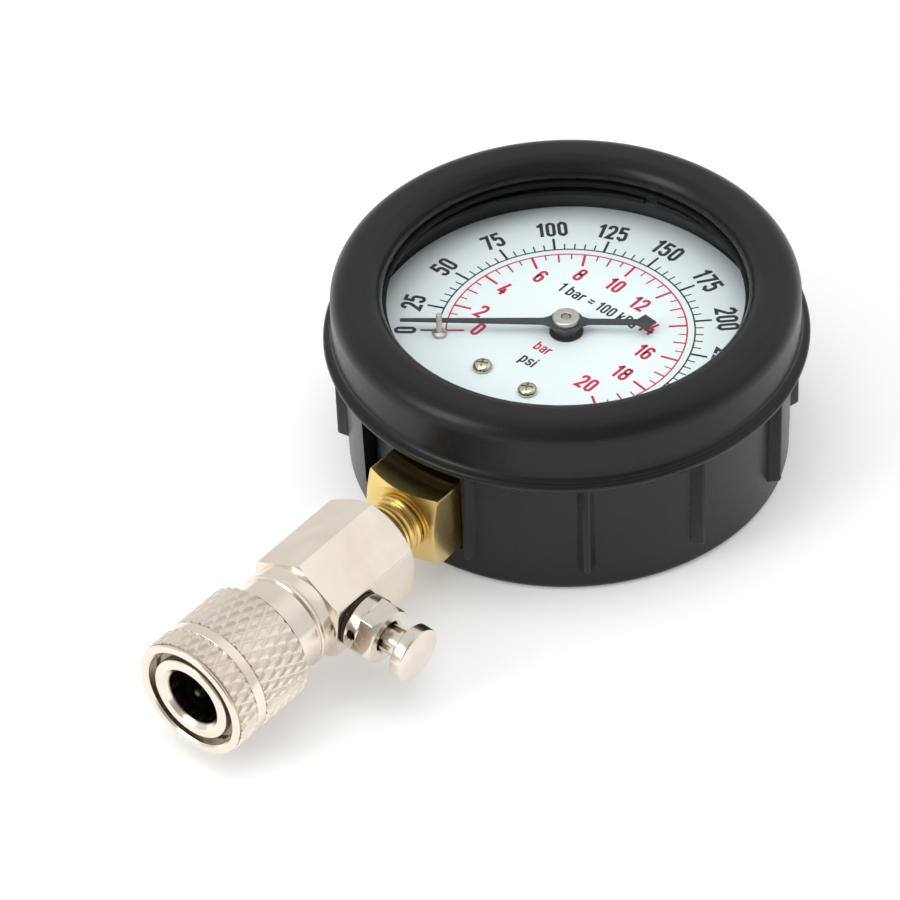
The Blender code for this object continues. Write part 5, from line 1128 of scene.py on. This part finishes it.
@dataclass(frozen=True)
class PointerSet:
    """Pointer with its boss and bush, and the pin it rests on."""

    rest: float = 217.6
    length: float = 27.3
    tip_width: float = 0.6
    root_width: float = 1.5
    tail: float = 14.8
    tail_width: float = 1.3
    diamond: float = 3.7
    disc: float = 2.9
    neck: float = 0.9
    low: float = 25.74
    thickness: float = 0.35
    hole: float = 1.02
    boss: float = 2.0
    boss_low: float = 24.32
    boss_high: float = 25.62
    bush: float = 2.25
    bush_hole: float = 0.8
    bush_low: float = 26.21
    bush_high: float = 27.11
    pin_radius: float = 20.8
    pin_aside: float = 1.207
    pin: float = 0.5
    pin_low: float = 22.62
    pin_top: float = 28.22
    foot: float = 1.25

    def outline(self) -> list[Point]:
        """Pointer in plan, its tip along +X."""
        root, tip, tail = self.root_width / 2, self.tip_width / 2, self.tail_width / 2
        diamond = self.diamond / 2
        front = math.degrees(math.asin(root / self.disc)) + 12
        back = math.degrees(math.asin(tail / self.disc)) + 10
        neck = self.disc + self.neck
        waist = -self.tail + 1.7 * diamond
        upper = [(self.length, tip), (neck, root), *arc((0, 0), self.disc, front, 180 - back, 24)]
        upper += [(-neck, tail), (waist, tail), (-self.tail + diamond, diamond)]
        return upper + [(-self.tail, 0.0)] + [(x, -y) for x, y in reversed(upper)]

    def build(self) -> None:
        """Build the pointer, its hub pieces and the stop pin."""
        turn = DIAL @ Matrix.Rotation(math.radians(self.rest), 4, "Z")
        blade = prism("pointer_blade", self.outline(), self.low, self.low + self.thickness, 0.05)
        hole = [(0, self.low - 1), (self.hole, self.low - 1), (self.hole, 27), (0, 27)]
        combine(blade, revolve("hole_tool", hole, 48), "DIFFERENCE")
        dress(blade, POINTER_PAINT, turn, ("pointer",), body=Body.POINTER)
        boss = lathe("pointer_boss_turned", [
            (self.hole, self.boss_low), (self.boss, self.boss_low, 0.15), (self.boss, self.boss_high, 0.15),
            (self.hole, self.boss_high),
        ], 64, 3)
        dress(boss, POINTER_PAINT, stands_for=("pointer_boss",), body=Body.POINTER)
        bush = lathe("pointer_bush_turned", [
            (self.bush_hole, self.bush_low), (self.bush, self.bush_low, 0.1),
            (self.bush, self.bush_high - 0.05, 0.3), (self.bush - 0.9, self.bush_high, 0.3),
            (self.bush_hole, self.bush_high, 0.12),
        ], 64)
        dress(bush, NICKEL_SMALL, stands_for=("pointer_bush",), body=Body.POINTER)
        low = FITTING_LOW
        pin = lathe("stop_pin_turned", [
            (0, self.pin_top), (self.pin, self.pin_top, 0.15), (self.pin, low + 0.6, 0.2),
            (self.foot, low + 0.45, 0.25), (self.foot, low, 0.1), (self.pin, low), (self.pin, self.pin_low),
            (0, self.pin_low),
        ], 40)
        place = polar(self.pin_radius, math.radians(self.rest) + self.pin_aside / self.pin_radius)
        dress(pin, NICKEL_SMALL, DIAL @ place, ("stop_pin",))


@dataclass(frozen=True)
class BrassSocket:
    """Square brass block with a turned front and a threaded neck."""

    width: float = 14.0
    height: float = 13.6
    back: float = 32.0
    front: float = 43.8
    cone: float = 6.6
    blank: float = 14.0
    slope: float = 27.0
    neck: float = 5.0
    thread_depth: float = 0.5
    neck_end: float = 59.0
    pitch: float = 0.94
    ridge: float = 0.4
    points_per_turn: int = 40
    bar_low: Triple = (-6.0, -10.2, 22.34)
    bar_high: Triple = (6.0, 4.8, 32.2)
    tongue_low: Triple = (-6.0, -10.2, 8.0)
    tongue_high: Triple = (6.0, -4.5, 23.0)
    bore: float = 1.5
    bore_ends: Point = (25.0, 60.0)

    def build(self) -> None:
        """Build the block, its inner bar and the thread."""
        rise = math.tan(math.radians(self.slope))
        turned = lathe("brass_block", [
            (0, self.front), (self.cone, self.front, 0.15),
            (self.blank, self.front - (self.blank - self.cone) * rise), (self.blank, self.back),
            (0, self.back),
        ], 192, 3)
        low, high = (-self.width / 2, -self.height / 2, self.back - 1), (self.width / 2, self.height / 2, 50)
        combine(turned, block("square_tool", low, high, 0.35), "INTERSECT")
        root = self.neck - self.thread_depth
        neck = lathe("neck_tool", [
            (0, self.neck_end), (root - 0.3, self.neck_end, 0.2), (root, self.neck_end - 1),
            (root, self.front - 1), (0, self.front - 1),
        ], 96, 3)
        combine(turned, neck, "UNION")
        combine(turned, block("bar_tool", self.bar_low, self.bar_high, 0.3), "UNION")
        combine(turned, block("tongue_tool", self.tongue_low, self.tongue_high, 0.3), "UNION")
        start, end = self.bore_ends
        bore = revolve("bore_tool", [(0, end), (self.bore, end), (self.bore, start), (0, start)], 32)
        combine(turned, bore, "DIFFERENCE")
        dress(turned, BRASS, STEM, ("socket_block",), 28.0)
        first = self.front - 0.3
        length = self.neck_end - 1.0 - first
        turns = length / self.pitch
        thread = THREAD.grow(
            "brass_thread", BRASS, Points=int(turns * self.points_per_turn), Turns=turns,
            Radius=self.neck - self.ridge, Length=length, Ridge=self.ridge,
        )
        dress(moved(thread, Matrix.Translation((0, 0, first))), BRASS, STEM, smooth=25.0)


@dataclass(frozen=True)
class HexAdapter:
    """Nickel hexagon with chamfered ends, a collar and the bleed port."""

    flats: float = 17.0
    start: float = 50.2
    end: float = 69.3
    chamfer: float = 1.1
    end_chamfer: float = 0.3
    collar: float = 8.3
    collar_end: float = 72.0
    port: float = 5.25
    port_end: float = 60.5
    port_mouth: float = 0.7
    passage: float = 2.0
    coupler_port: float = 5.8
    coupler_depth: float = 3.8
    valve_port: float = 3.15
    valve_depth: float = 4.0

    def build(self) -> None:
        """Build the adapter with its bores."""
        corner = self.flats / math.sqrt(3)
        flat = self.flats / 2
        body = lathe("hex_adapter", [
            (0, self.end), (corner - 2 * self.end_chamfer, self.end, 0.1),
            (corner, self.end - self.end_chamfer, 0.1), (corner, self.start + self.chamfer, 0.3),
            (flat - 0.5, self.start, 0.15), (0, self.start),
        ], 192, 3)
        prism_tool = prism("hex_tool", hexagon(corner, 30.0), self.start - 1, self.end + 1, 0.25)
        combine(body, prism_tool, "INTERSECT")
        collar = lathe("collar_tool", [
            (0, self.collar_end), (self.collar, self.collar_end, 0.3), (self.collar, self.end - 2),
            (0, self.end - 2),
        ], 128, 3)
        combine(body, collar, "UNION")
        seat = self.collar_end - self.coupler_depth
        mouth = self.port + self.port_mouth
        bore = revolve("bore_tool", [
            (0, self.collar_end + 1), (self.coupler_port, self.collar_end + 1), (self.coupler_port, seat),
            (self.passage, seat), (self.passage, self.port_end), (self.port, self.port_end),
            (self.port, self.start + self.port_mouth), (mouth, self.start - 0.01), (mouth, self.start - 1),
            (0, self.start - 1),
        ], 96)
        combine(body, bore, "DIFFERENCE")
        port = revolve("port_tool", [
            (0, flat + 2), (self.valve_port, flat + 2), (self.valve_port, flat - self.valve_depth),
            (self.passage, flat - self.valve_depth), (self.passage, 0), (0, 0),
        ], 48)
        combine(body, moved(port, PORT_PLACE @ TIPPED), "DIFFERENCE")
        dress(body, NICKEL_FLAT, ADAPTER, ("adapter_body",), 24.0)


@dataclass(frozen=True)
class QuickCoupler:
    """Coupler body, knurled sliding sleeve, locking balls and seal."""

    joint_start: float = 72.12
    joint_end: float = 72.82
    joint_ring: float = 8.5
    tenon: float = 5.55
    tenon_end: float = 68.32
    passage: float = 2.0
    guide: float = 8.0
    guide_end: float = 81.0
    core: float = 7.0
    nose: float = 7.3
    nose_start: float = 87.7
    groove: Point = (91.3, 92.3)
    face: float = 94.6
    bore: float = 4.85
    bore_end: float = 82.6
    seal_room: Triple = (6.25, 84.5, 86.3)
    seal: Triple = (5.45, 85.4, 0.75)
    ball: float = 1.3
    ball_count: int = 6
    ball_plane: float = 89.3
    ball_centre: float = 5.92
    cage: float = 1.37
    cage_mouth: float = 1.14
    cage_ends: Triple = (3.85, 5.13, 8.3)
    sleeve: float = 10.3
    sleeve_start: float = 78.1
    sleeve_guide: float = 8.07
    rear_end: float = 88.15
    front_start: float = 90.2
    front_end: float = 94.0
    rim: float = 94.8
    knurl_depth: float = 0.34
    knurl_pitch: float = 2.06
    knurl_columns: int = 34
    knurl_tip: float = 0.42
    knurl_fill: float = 0.97
    rear_rows: int = 6
    rear_first: float = 78.55
    front_rows: int = 4
    front_first: float = 88.95
    pocket: float = 8.55
    pocket_cone: Point = (80.4, 80.7)
    land: float = 7.37
    land_ends: Point = (87.5, 91.2)

    def build(self) -> None:
        """Build the body, the sleeve and the small pieces."""
        self.build_body()
        self.build_sleeve()
        shape = bmesh.new()
        bmesh.ops.create_icosphere(shape, subdivisions=3, radius=self.ball)
        place = Matrix.Translation((self.ball_centre, 0, self.ball_plane))
        ball = moved(mesh_object("locking_balls", shape), place)
        balls = repeated("locking_balls", ball, self.ball_count, SPRING_STEEL)
        names = tuple(f"locking_ball_{index + 1}" for index in range(self.ball_count))
        dress(balls, SPRING_STEEL, ADAPTER, names)
        dress(o_ring("plug_seal_ring", *self.seal), BROWN_RUBBER, ADAPTER, ("plug_seal",))

    def build_body(self) -> None:
        """Turned body with its groove, bore and ball cages."""
        low, high = self.groove
        floor = self.nose - 0.5
        room, room_low, room_high = self.seal_room
        body = lathe("coupler_turned_body", [
            (self.bore + 0.8, self.face, 0.1), (self.nose, self.face, 0.4), (self.nose, high), (floor, high),
            (floor, low), (self.nose, low), (self.nose, self.nose_start), (self.core, self.nose_start),
            (self.core, self.guide_end), (self.guide, self.guide_end, 0.2), (self.guide, self.joint_end, 0.1),
            (self.joint_ring, self.joint_end, 0.25), (self.joint_ring, self.joint_start, 0.1),
            (self.tenon, self.joint_start), (self.tenon, self.tenon_end), (self.passage, self.tenon_end),
            (self.passage, self.bore_end), (self.bore, self.bore_end), (self.bore, room_low),
            (room, room_low), (room, room_high), (self.bore, room_high), (self.bore, self.face - 0.8, 0.2),
        ], 160)
        inner, step, outer = self.cage_ends
        cage = revolve("cage_tool", [
            (0, outer), (self.cage, outer), (self.cage, step), (self.cage_mouth, step),
            (self.cage_mouth, inner), (0, inner),
        ], 32)
        moved(cage, Matrix.Translation((0, 0, self.ball_plane)) @ TIPPED)
        combine(body, repeated("cage_tools", cage, self.ball_count, NICKEL_WITH_BORE_SHADE), "DIFFERENCE")
        dress(body, NICKEL_WITH_BORE_SHADE, ADAPTER, ("coupler_body",), 28.0)

    def build_sleeve(self) -> None:
        """Sleeve with a plain rim and two knurled bands."""
        floor = self.sleeve - self.knurl_depth + 0.03
        groove = self.sleeve - 0.7
        edge = self.sleeve - 0.2
        cone_start, cone_end = self.pocket_cone
        low, high = self.land_ends
        sleeve = lathe("sleeve_shell", [
            (self.pocket, self.rim - 0.35), (self.pocket + 0.35, self.rim, 0.12), (edge, self.rim, 0.3),
            (edge, self.rim - 0.45, 0.1), (groove, self.rim - 0.47), (groove, self.front_end),
            (floor, self.front_end), (floor, self.front_start + 0.1, 0.05),
            (self.sleeve, self.front_start, 0.1), (self.sleeve, self.rear_end + 0.3, 0.06),
            (groove, self.rear_end + 0.28), (groove, self.rear_end + 0.02), (floor, self.rear_end),
            (floor, self.sleeve_start + 0.5, 0.1), (self.sleeve - 0.5, self.sleeve_start, 0.15),
            (self.sleeve_guide, self.sleeve_start, 0.2), (self.sleeve_guide, cone_start),
            (self.pocket, cone_end), (self.pocket, low), (self.land, low), (self.land, high),
            (self.pocket, high),
        ], 192, 5)
        dress(sleeve, NICKEL_TURNED, ADAPTER, ("coupler_sleeve",), 30.0, body=Body.SLEEVE)
        low, high = self.sleeve_start + 0.45, self.rear_end - 0.05
        self.build_knurl("sleeve_rear_knurl", self.rear_rows, self.rear_first, low, high)
        low, high = self.front_start + 0.08, self.front_end - 0.02
        self.build_knurl("sleeve_front_knurl", self.front_rows, self.front_first, low, high)

    def build_knurl(self, name: str, rows: int, first: float, low: float, high: float) -> None:
        """Band of shallow flat-topped diamonds, cut straight at both ends.

        Args:
            name: the band's name.
            rows: rows of diamonds, each staggered by half a diamond.
            first: middle of the first row.
            low: where the band starts.
            high: where the band ends.
        """
        radius = self.sleeve - self.knurl_depth
        half_width = math.pi * radius / self.knurl_columns
        band = KNURL.grow(
            name, NICKEL_KNURL, Columns=self.knurl_columns, Rows=rows, Radius=radius, Start=first,
            Pitch=self.knurl_pitch, Tip=self.knurl_tip, Half_length=self.knurl_pitch * self.knurl_fill,
            Half_width=half_width * self.knurl_fill, Relief=self.knurl_depth,
        )
        dress(clipped(band, low, high), NICKEL_KNURL, ADAPTER, smooth=12.0, body=Body.SLEEVE)


@dataclass(frozen=True)
class BleedValve:
    """Push-button valve: ring seal, flanged hexagon and fluted mushroom button."""

    ring: Triple = (4.4, 8.92, 0.3)
    flange: float = 4.9
    flange_low: float = 9.34
    flange_high: float = 11.74
    flats: float = 9.4
    nut_high: float = 14.67
    nut_chamfer: float = 1.0
    nut_turn: float = 6.2
    thread: float = 2.9
    thread_low: float = 4.9
    chamber: float = 2.65
    chamber_mouth: float = 0.35
    spring_room: Point = (2.2, 7.0)
    outlet: Point = (0.9, 3.0)
    vent: float = 0.8
    vent_sink: float = 3.1
    vent_end: float = 7.0
    vent_turn: float = 165.9
    button: float = 4.7
    head_low: float = 18.44
    head_high: float = 20.64
    stem: float = 2.35
    stem_low: float = 12.24
    rod: Point = (0.65, 3.1)
    flute_count: int = 4
    flute_half: float = 0.65
    flute_depth: float = 0.7
    flute_high: float = 17.24
    flute_turn: float = 75.0

    def build(self) -> None:
        """Build the valve's visible pieces."""
        dress(o_ring("valve_ring_seal", *self.ring), BROWN_RUBBER, VALVE, ("valve_o_ring",))
        self.build_body()
        self.build_button()

    def build_body(self) -> None:
        """Flange, hexagon, thread shank, chamber and vent."""
        body = lathe("valve_turned_body", [
            (0, self.flange_high), (self.flange, self.flange_high, 0.35),
            (self.flange, self.flange_low, 0.25), (self.thread, self.flange_low),
            (self.thread, self.thread_low, 0.2), (0, self.thread_low),
        ], 128)
        corner = self.flats / math.sqrt(3)
        nut = lathe("nut_tool", [
            (0, self.nut_high), (self.flats / 2 - 0.2, self.nut_high, 0.1),
            (corner, self.nut_high - self.nut_chamfer, 0.1), (corner, self.flange_high - 0.3),
            (0, self.flange_high - 0.3),
        ], 128, 3)
        outline = hexagon(corner, self.nut_turn)
        combine(nut, prism("hex_tool", outline, self.flange_high - 1, self.nut_high + 1, 0.2), "INTERSECT")
        combine(body, nut, "UNION")
        mouth = self.chamber + self.chamber_mouth
        floor = self.flange_low + 0.3
        room, room_low = self.spring_room
        outlet, outlet_low = self.outlet
        chamber = revolve("chamber_tool", [
            (0, self.nut_high + 1), (mouth, self.nut_high + 1), (mouth, self.nut_high),
            (self.chamber, self.nut_high - self.chamber_mouth), (self.chamber, floor), (room, floor),
            (room, room_low), (outlet, room_low), (outlet, outlet_low), (0, outlet_low),
        ], 64)
        combine(body, chamber, "DIFFERENCE")
        vent = revolve("vent_tool", [
            (0, self.vent_end), (self.vent_sink, self.vent_end), (self.vent, self.flange - 0.3),
            (self.vent, 0.0), (0, 0.0),
        ], 32)
        place = Matrix.Translation((0, 0, (self.flange_low + self.flange_high) / 2))
        turn = Matrix.Rotation(math.radians(self.vent_turn), 4, "Z") @ TIPPED
        combine(body, moved(vent, place @ turn), "DIFFERENCE")
        dress(body, NICKEL_VALVE, VALVE, ("valve_body",), 28.0)

    def build_button(self) -> None:
        """Mushroom button with a fluted stem and its thin rod."""
        rod, rod_low = self.rod
        button = lathe("valve_push_button", [
            (0, self.head_high), (self.button, self.head_high, 0.3), (self.button, self.head_low, 0.3),
            (self.stem, self.head_low, 0.15), (self.stem, self.stem_low, 0.2), (rod, self.stem_low),
            (rod, rod_low, 0.1), (0, rod_low),
        ], 128)
        low = (self.stem - self.flute_depth, -self.flute_half, self.stem_low - 1)
        flute = block("flute_tool", low, (self.stem + 1, self.flute_half, self.flute_high))
        flutes = repeated("flute_tools", flute, self.flute_count, NICKEL_VALVE, self.flute_turn)
        combine(button, flutes, "DIFFERENCE")
        dress(button, NICKEL_VALVE, VALVE, ("valve_button",), 28.0, body=Body.BUTTON)


@dataclass(frozen=True)
class CoilSpring:
    """Compression spring, wound once at its rest length."""

    name: str
    stands_for: str
    joint: str
    frame: Matrix
    radius: float
    wire: float
    low: float
    high: float
    turns: float
    stroke: float
    points_per_turn: int = 28

    def build(self) -> None:
        """Wind the spring."""
        coil = THREAD.grow(
            self.name, SPRING_STEEL, Points=int(self.turns * self.points_per_turn), Turns=self.turns,
            Radius=self.radius, Length=self.high - self.low - 2 * self.wire, Ridge=self.wire,
        )
        moved(coil, Matrix.Translation((0, 0, self.low + self.wire)))
        dress(coil, SPRING_STEEL, self.frame, (self.stands_for,), 70.0)
        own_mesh(coil)


SLEEVE_SPRING = CoilSpring(
    "sleeve_coil", "sleeve_spring", "sleeve_slide", ADAPTER, radius=7.775, wire=0.4, low=81.12, high=87.38,
    turns=3.0, stroke=3.5,
)
VALVE_SPRING = CoilSpring(
    "valve_coil", "valve_spring", "button_press", VALVE, radius=1.58, wire=0.25, low=7.12, high=12.12,
    turns=4.0, stroke=2.2,
)


@dataclass(frozen=True)
class InnerWorks:
    """Finishes of the solids that show as they are."""

    brass: tuple[str, ...] = (
        "tube_tip", "link", "sector_gear", "movement_back_plate", "movement_front_plate", "movement_pillar_1",
        "movement_pillar_2", "dial_post_left", "dial_post_right", "hairspring_collet", "hairspring_stud",
    )
    bronze: tuple[str, ...] = ("bourdon_tube", "hairspring")
    screws: tuple[str, ...] = (
        "case_screw_1", "case_screw_2", "movement_screw_1", "movement_screw_2", "plate_screw_1",
        "plate_screw_2",
    )
    steel: tuple[str, ...] = ("pinion_shaft", "sector_shaft", "link_pin", "tip_pin", "retaining_ring")
    rubber: tuple[str, ...] = ("relief_plug", "valve_seal")
    fibre: tuple[str, ...] = ("seal_washer",)

    def dress(self, nodes: dict[str, Piece]) -> None:
        """Give each solid its finish."""
        for names, finish in (
            (self.brass, INNER_BRASS), (self.bronze, BRONZE), (self.screws, SCREW_STEEL),
            (self.steel, SPRING_STEEL), (self.rubber, SEAL_RUBBER), (self.fibre, FIBRE),
        ):
            for name in names:
                for slot in nodes[name].material_slots:
                    slot.material = finish.material()
                LOG.info("%s: solid in %s", name, finish.name)


@dataclass(frozen=True)
class Softbox:
    """Rectangular lamp aimed at a point, in metres and watts."""

    name: str
    place: Triple
    target: Triple
    size: Point
    power: float
    mirrored: bool

    def build(self) -> None:
        """Hang the lamp; shiny surfaces show it only where it's mirrored."""
        data = bpy.data.lights.new(self.name, "AREA")
        data.shape = "RECTANGLE"
        data.size, data.size_y = self.size
        data.energy = self.power
        lamp = bpy.data.objects.new(self.name, data)
        aim = Vector(self.target) - Vector(self.place)
        lamp.matrix_world = Matrix.Translation(self.place) @ aim.to_track_quat("-Z", "Y").to_matrix().to_4x4()
        lamp.visible_glossy = self.mirrored
        shown(lamp)


@dataclass(frozen=True)
class Studio:
    """Pale floor, white surroundings, soft lamps and the camera."""

    camera_place: Triple = (354.46, -440.31, 500.80)
    right: Triple = (0.7760416, 0.6296806, -0.0355217)
    upward: Triple = (-0.3980771, 0.5327343, 0.7468124)
    backward: Triple = (0.4891769, -0.5654171, 0.6640855)
    lens: float = 179.92
    sensor: float = 36.0
    view_end: float = 20.0
    floor_half: float = 3.0
    floor_heights: Point = (-0.01, -0.00002)
    floor_grey: float = 0.76
    floor_glow: float = 0.26
    sky_levels: tuple[Point, ...] = (
        (0.0, 0.65), (0.12, 0.78), (0.3, 0.8), (0.55, 0.8), (0.8, 0.78), (1.0, 0.74),
    )
    sky_tint: Triple = (1.0, 0.995, 0.985)
    window_side: Triple = (0.33, 0.565, 0.756)
    window_spread: Point = (0.8, 1.0)
    window_glow: float = 0.24
    unlit_side: Triple = (0.56, -0.52, 0.645)
    unlit_spread: Point = (0.55, 0.95)
    unlit_level: float = 0.4
    lamps: tuple[Softbox, ...] = (
        Softbox("key_softbox", (0.1, -0.3, 1.65), (0.0, -0.02, 0.01), (1.5, 1.5), 13.5, False),
        Softbox("front_softbox", (-0.5, -1.3, 0.85), (0.0, 0.0, 0.03), (0.7, 0.9), 7.5, True),
    )

    def build(self) -> None:
        """Build the studio."""
        self.build_camera()
        self.build_floor()
        self.build_world()
        for lamp in self.lamps:
            lamp.build()

    def build_camera(self) -> None:
        """Camera at the photograph's viewing angle."""
        data = bpy.data.cameras.new("camera")
        data.lens = self.lens
        data.sensor_width = self.sensor
        data.clip_end = self.view_end
        camera = bpy.data.objects.new("camera", data)
        columns = Matrix((self.right, self.upward, self.backward)).transposed().to_4x4()
        camera.matrix_world = Matrix.Translation(Vector(self.camera_place) * MM) @ columns
        bpy.context.scene.camera = shown(camera)

    def build_floor(self) -> None:
        """White floor that keeps the object's shadow."""
        half, (low, high) = self.floor_half, self.floor_heights
        floor = block("studio_floor", (-half, -half, low), (half, half, high))
        bench = ShaderBench("floor_white")
        grey = self.floor_grey
        paint = {"Base Color": (grey, grey, grey, 1.0), "Roughness": 0.9, "Specular IOR Level": 0.0}
        bench.feed(bench.shader, paint)
        rays = bench.node("ShaderNodeLightPath").outputs
        reflected = bench.math("MAXIMUM", rays["Is Glossy Ray"], rays["Is Transmission Ray"])
        seen = bench.math("MAXIMUM", rays["Is Camera Ray"], reflected)
        glow = bench.node("ShaderNodeEmission", {"Strength": bench.math("MULTIPLY", seen, self.floor_glow)})
        sources = {0: bench.shader.outputs["BSDF"], 1: glow.outputs["Emission"]}
        both = bench.node("ShaderNodeAddShader", sources)
        bench.feed(bench.output, {"Surface": both.outputs["Shader"]})
        floor.data.materials.append(bench.material)

    def build_world(self) -> None:
        """White surroundings: brighter at the window side, darker at the horizon and the unlit side."""
        world = bpy.data.worlds.new("studio_world")
        bpy.context.scene.world = world
        world.use_nodes = True
        nodes = Nodes(world.node_tree)
        direction = nodes.node("ShaderNodeTexCoord").outputs["Generated"]
        ramp = nodes.node("ShaderNodeValToRGB", {"Fac": nodes.split(direction)["Z"]})
        stops = ramp.color_ramp.elements
        while len(stops) < len(self.sky_levels):
            stops.new(0.5)
        for stop, (place, level) in zip(stops, self.sky_levels):
            stop.position = place
            stop.color = (*(level * share for share in self.sky_tint), 1.0)

        def towards(side: Triple, given: Point, wanted: Point) -> Socket:
            """Value that changes smoothly for directions near one side."""
            near = nodes.node("ShaderNodeVectorMath", {0: direction, 1: side}, operation="DOT_PRODUCT")
            return nodes.mapped(near.outputs["Value"], given, wanted, "SMOOTHSTEP")

        glow = towards(self.window_side, self.window_spread, (0.0, self.window_glow))
        dimming = towards(self.unlit_side, self.unlit_spread, (1.0, self.unlit_level))
        sky = nodes.mixed(1.0, nodes.mixed(1.0, ramp.outputs["Color"], glow, "ADD"), dimming, "MULTIPLY")
        seen = nodes.node("ShaderNodeLightPath").outputs["Is Camera Ray"]
        result = nodes.mixed(seen, sky, (1.0, 1.0, 1.0, 1.0))
        nodes.feed(nodes.tree.nodes["Background"], {"Color": result, "Strength": 1.0})


def main() -> None:
    """Load the solids, dress them and build the studio."""
    logging.basicConfig(level=logging.INFO, format="%(message)s")
    bpy.context.scene.view_settings.view_transform = "Standard"
    for piece in (
        RubberBoot(), CaseAndWindow(), DialFace(), PointerSet(), BrassSocket(), HexAdapter(), QuickCoupler(),
        BleedValve(), SLEEVE_SPRING, VALVE_SPRING,
    ):
        piece.build()
    InnerWorks().dress(frame["nodes"])
    Studio().build()
    bpy.context.view_layer.update()


if __name__ == "__main__":
    main()
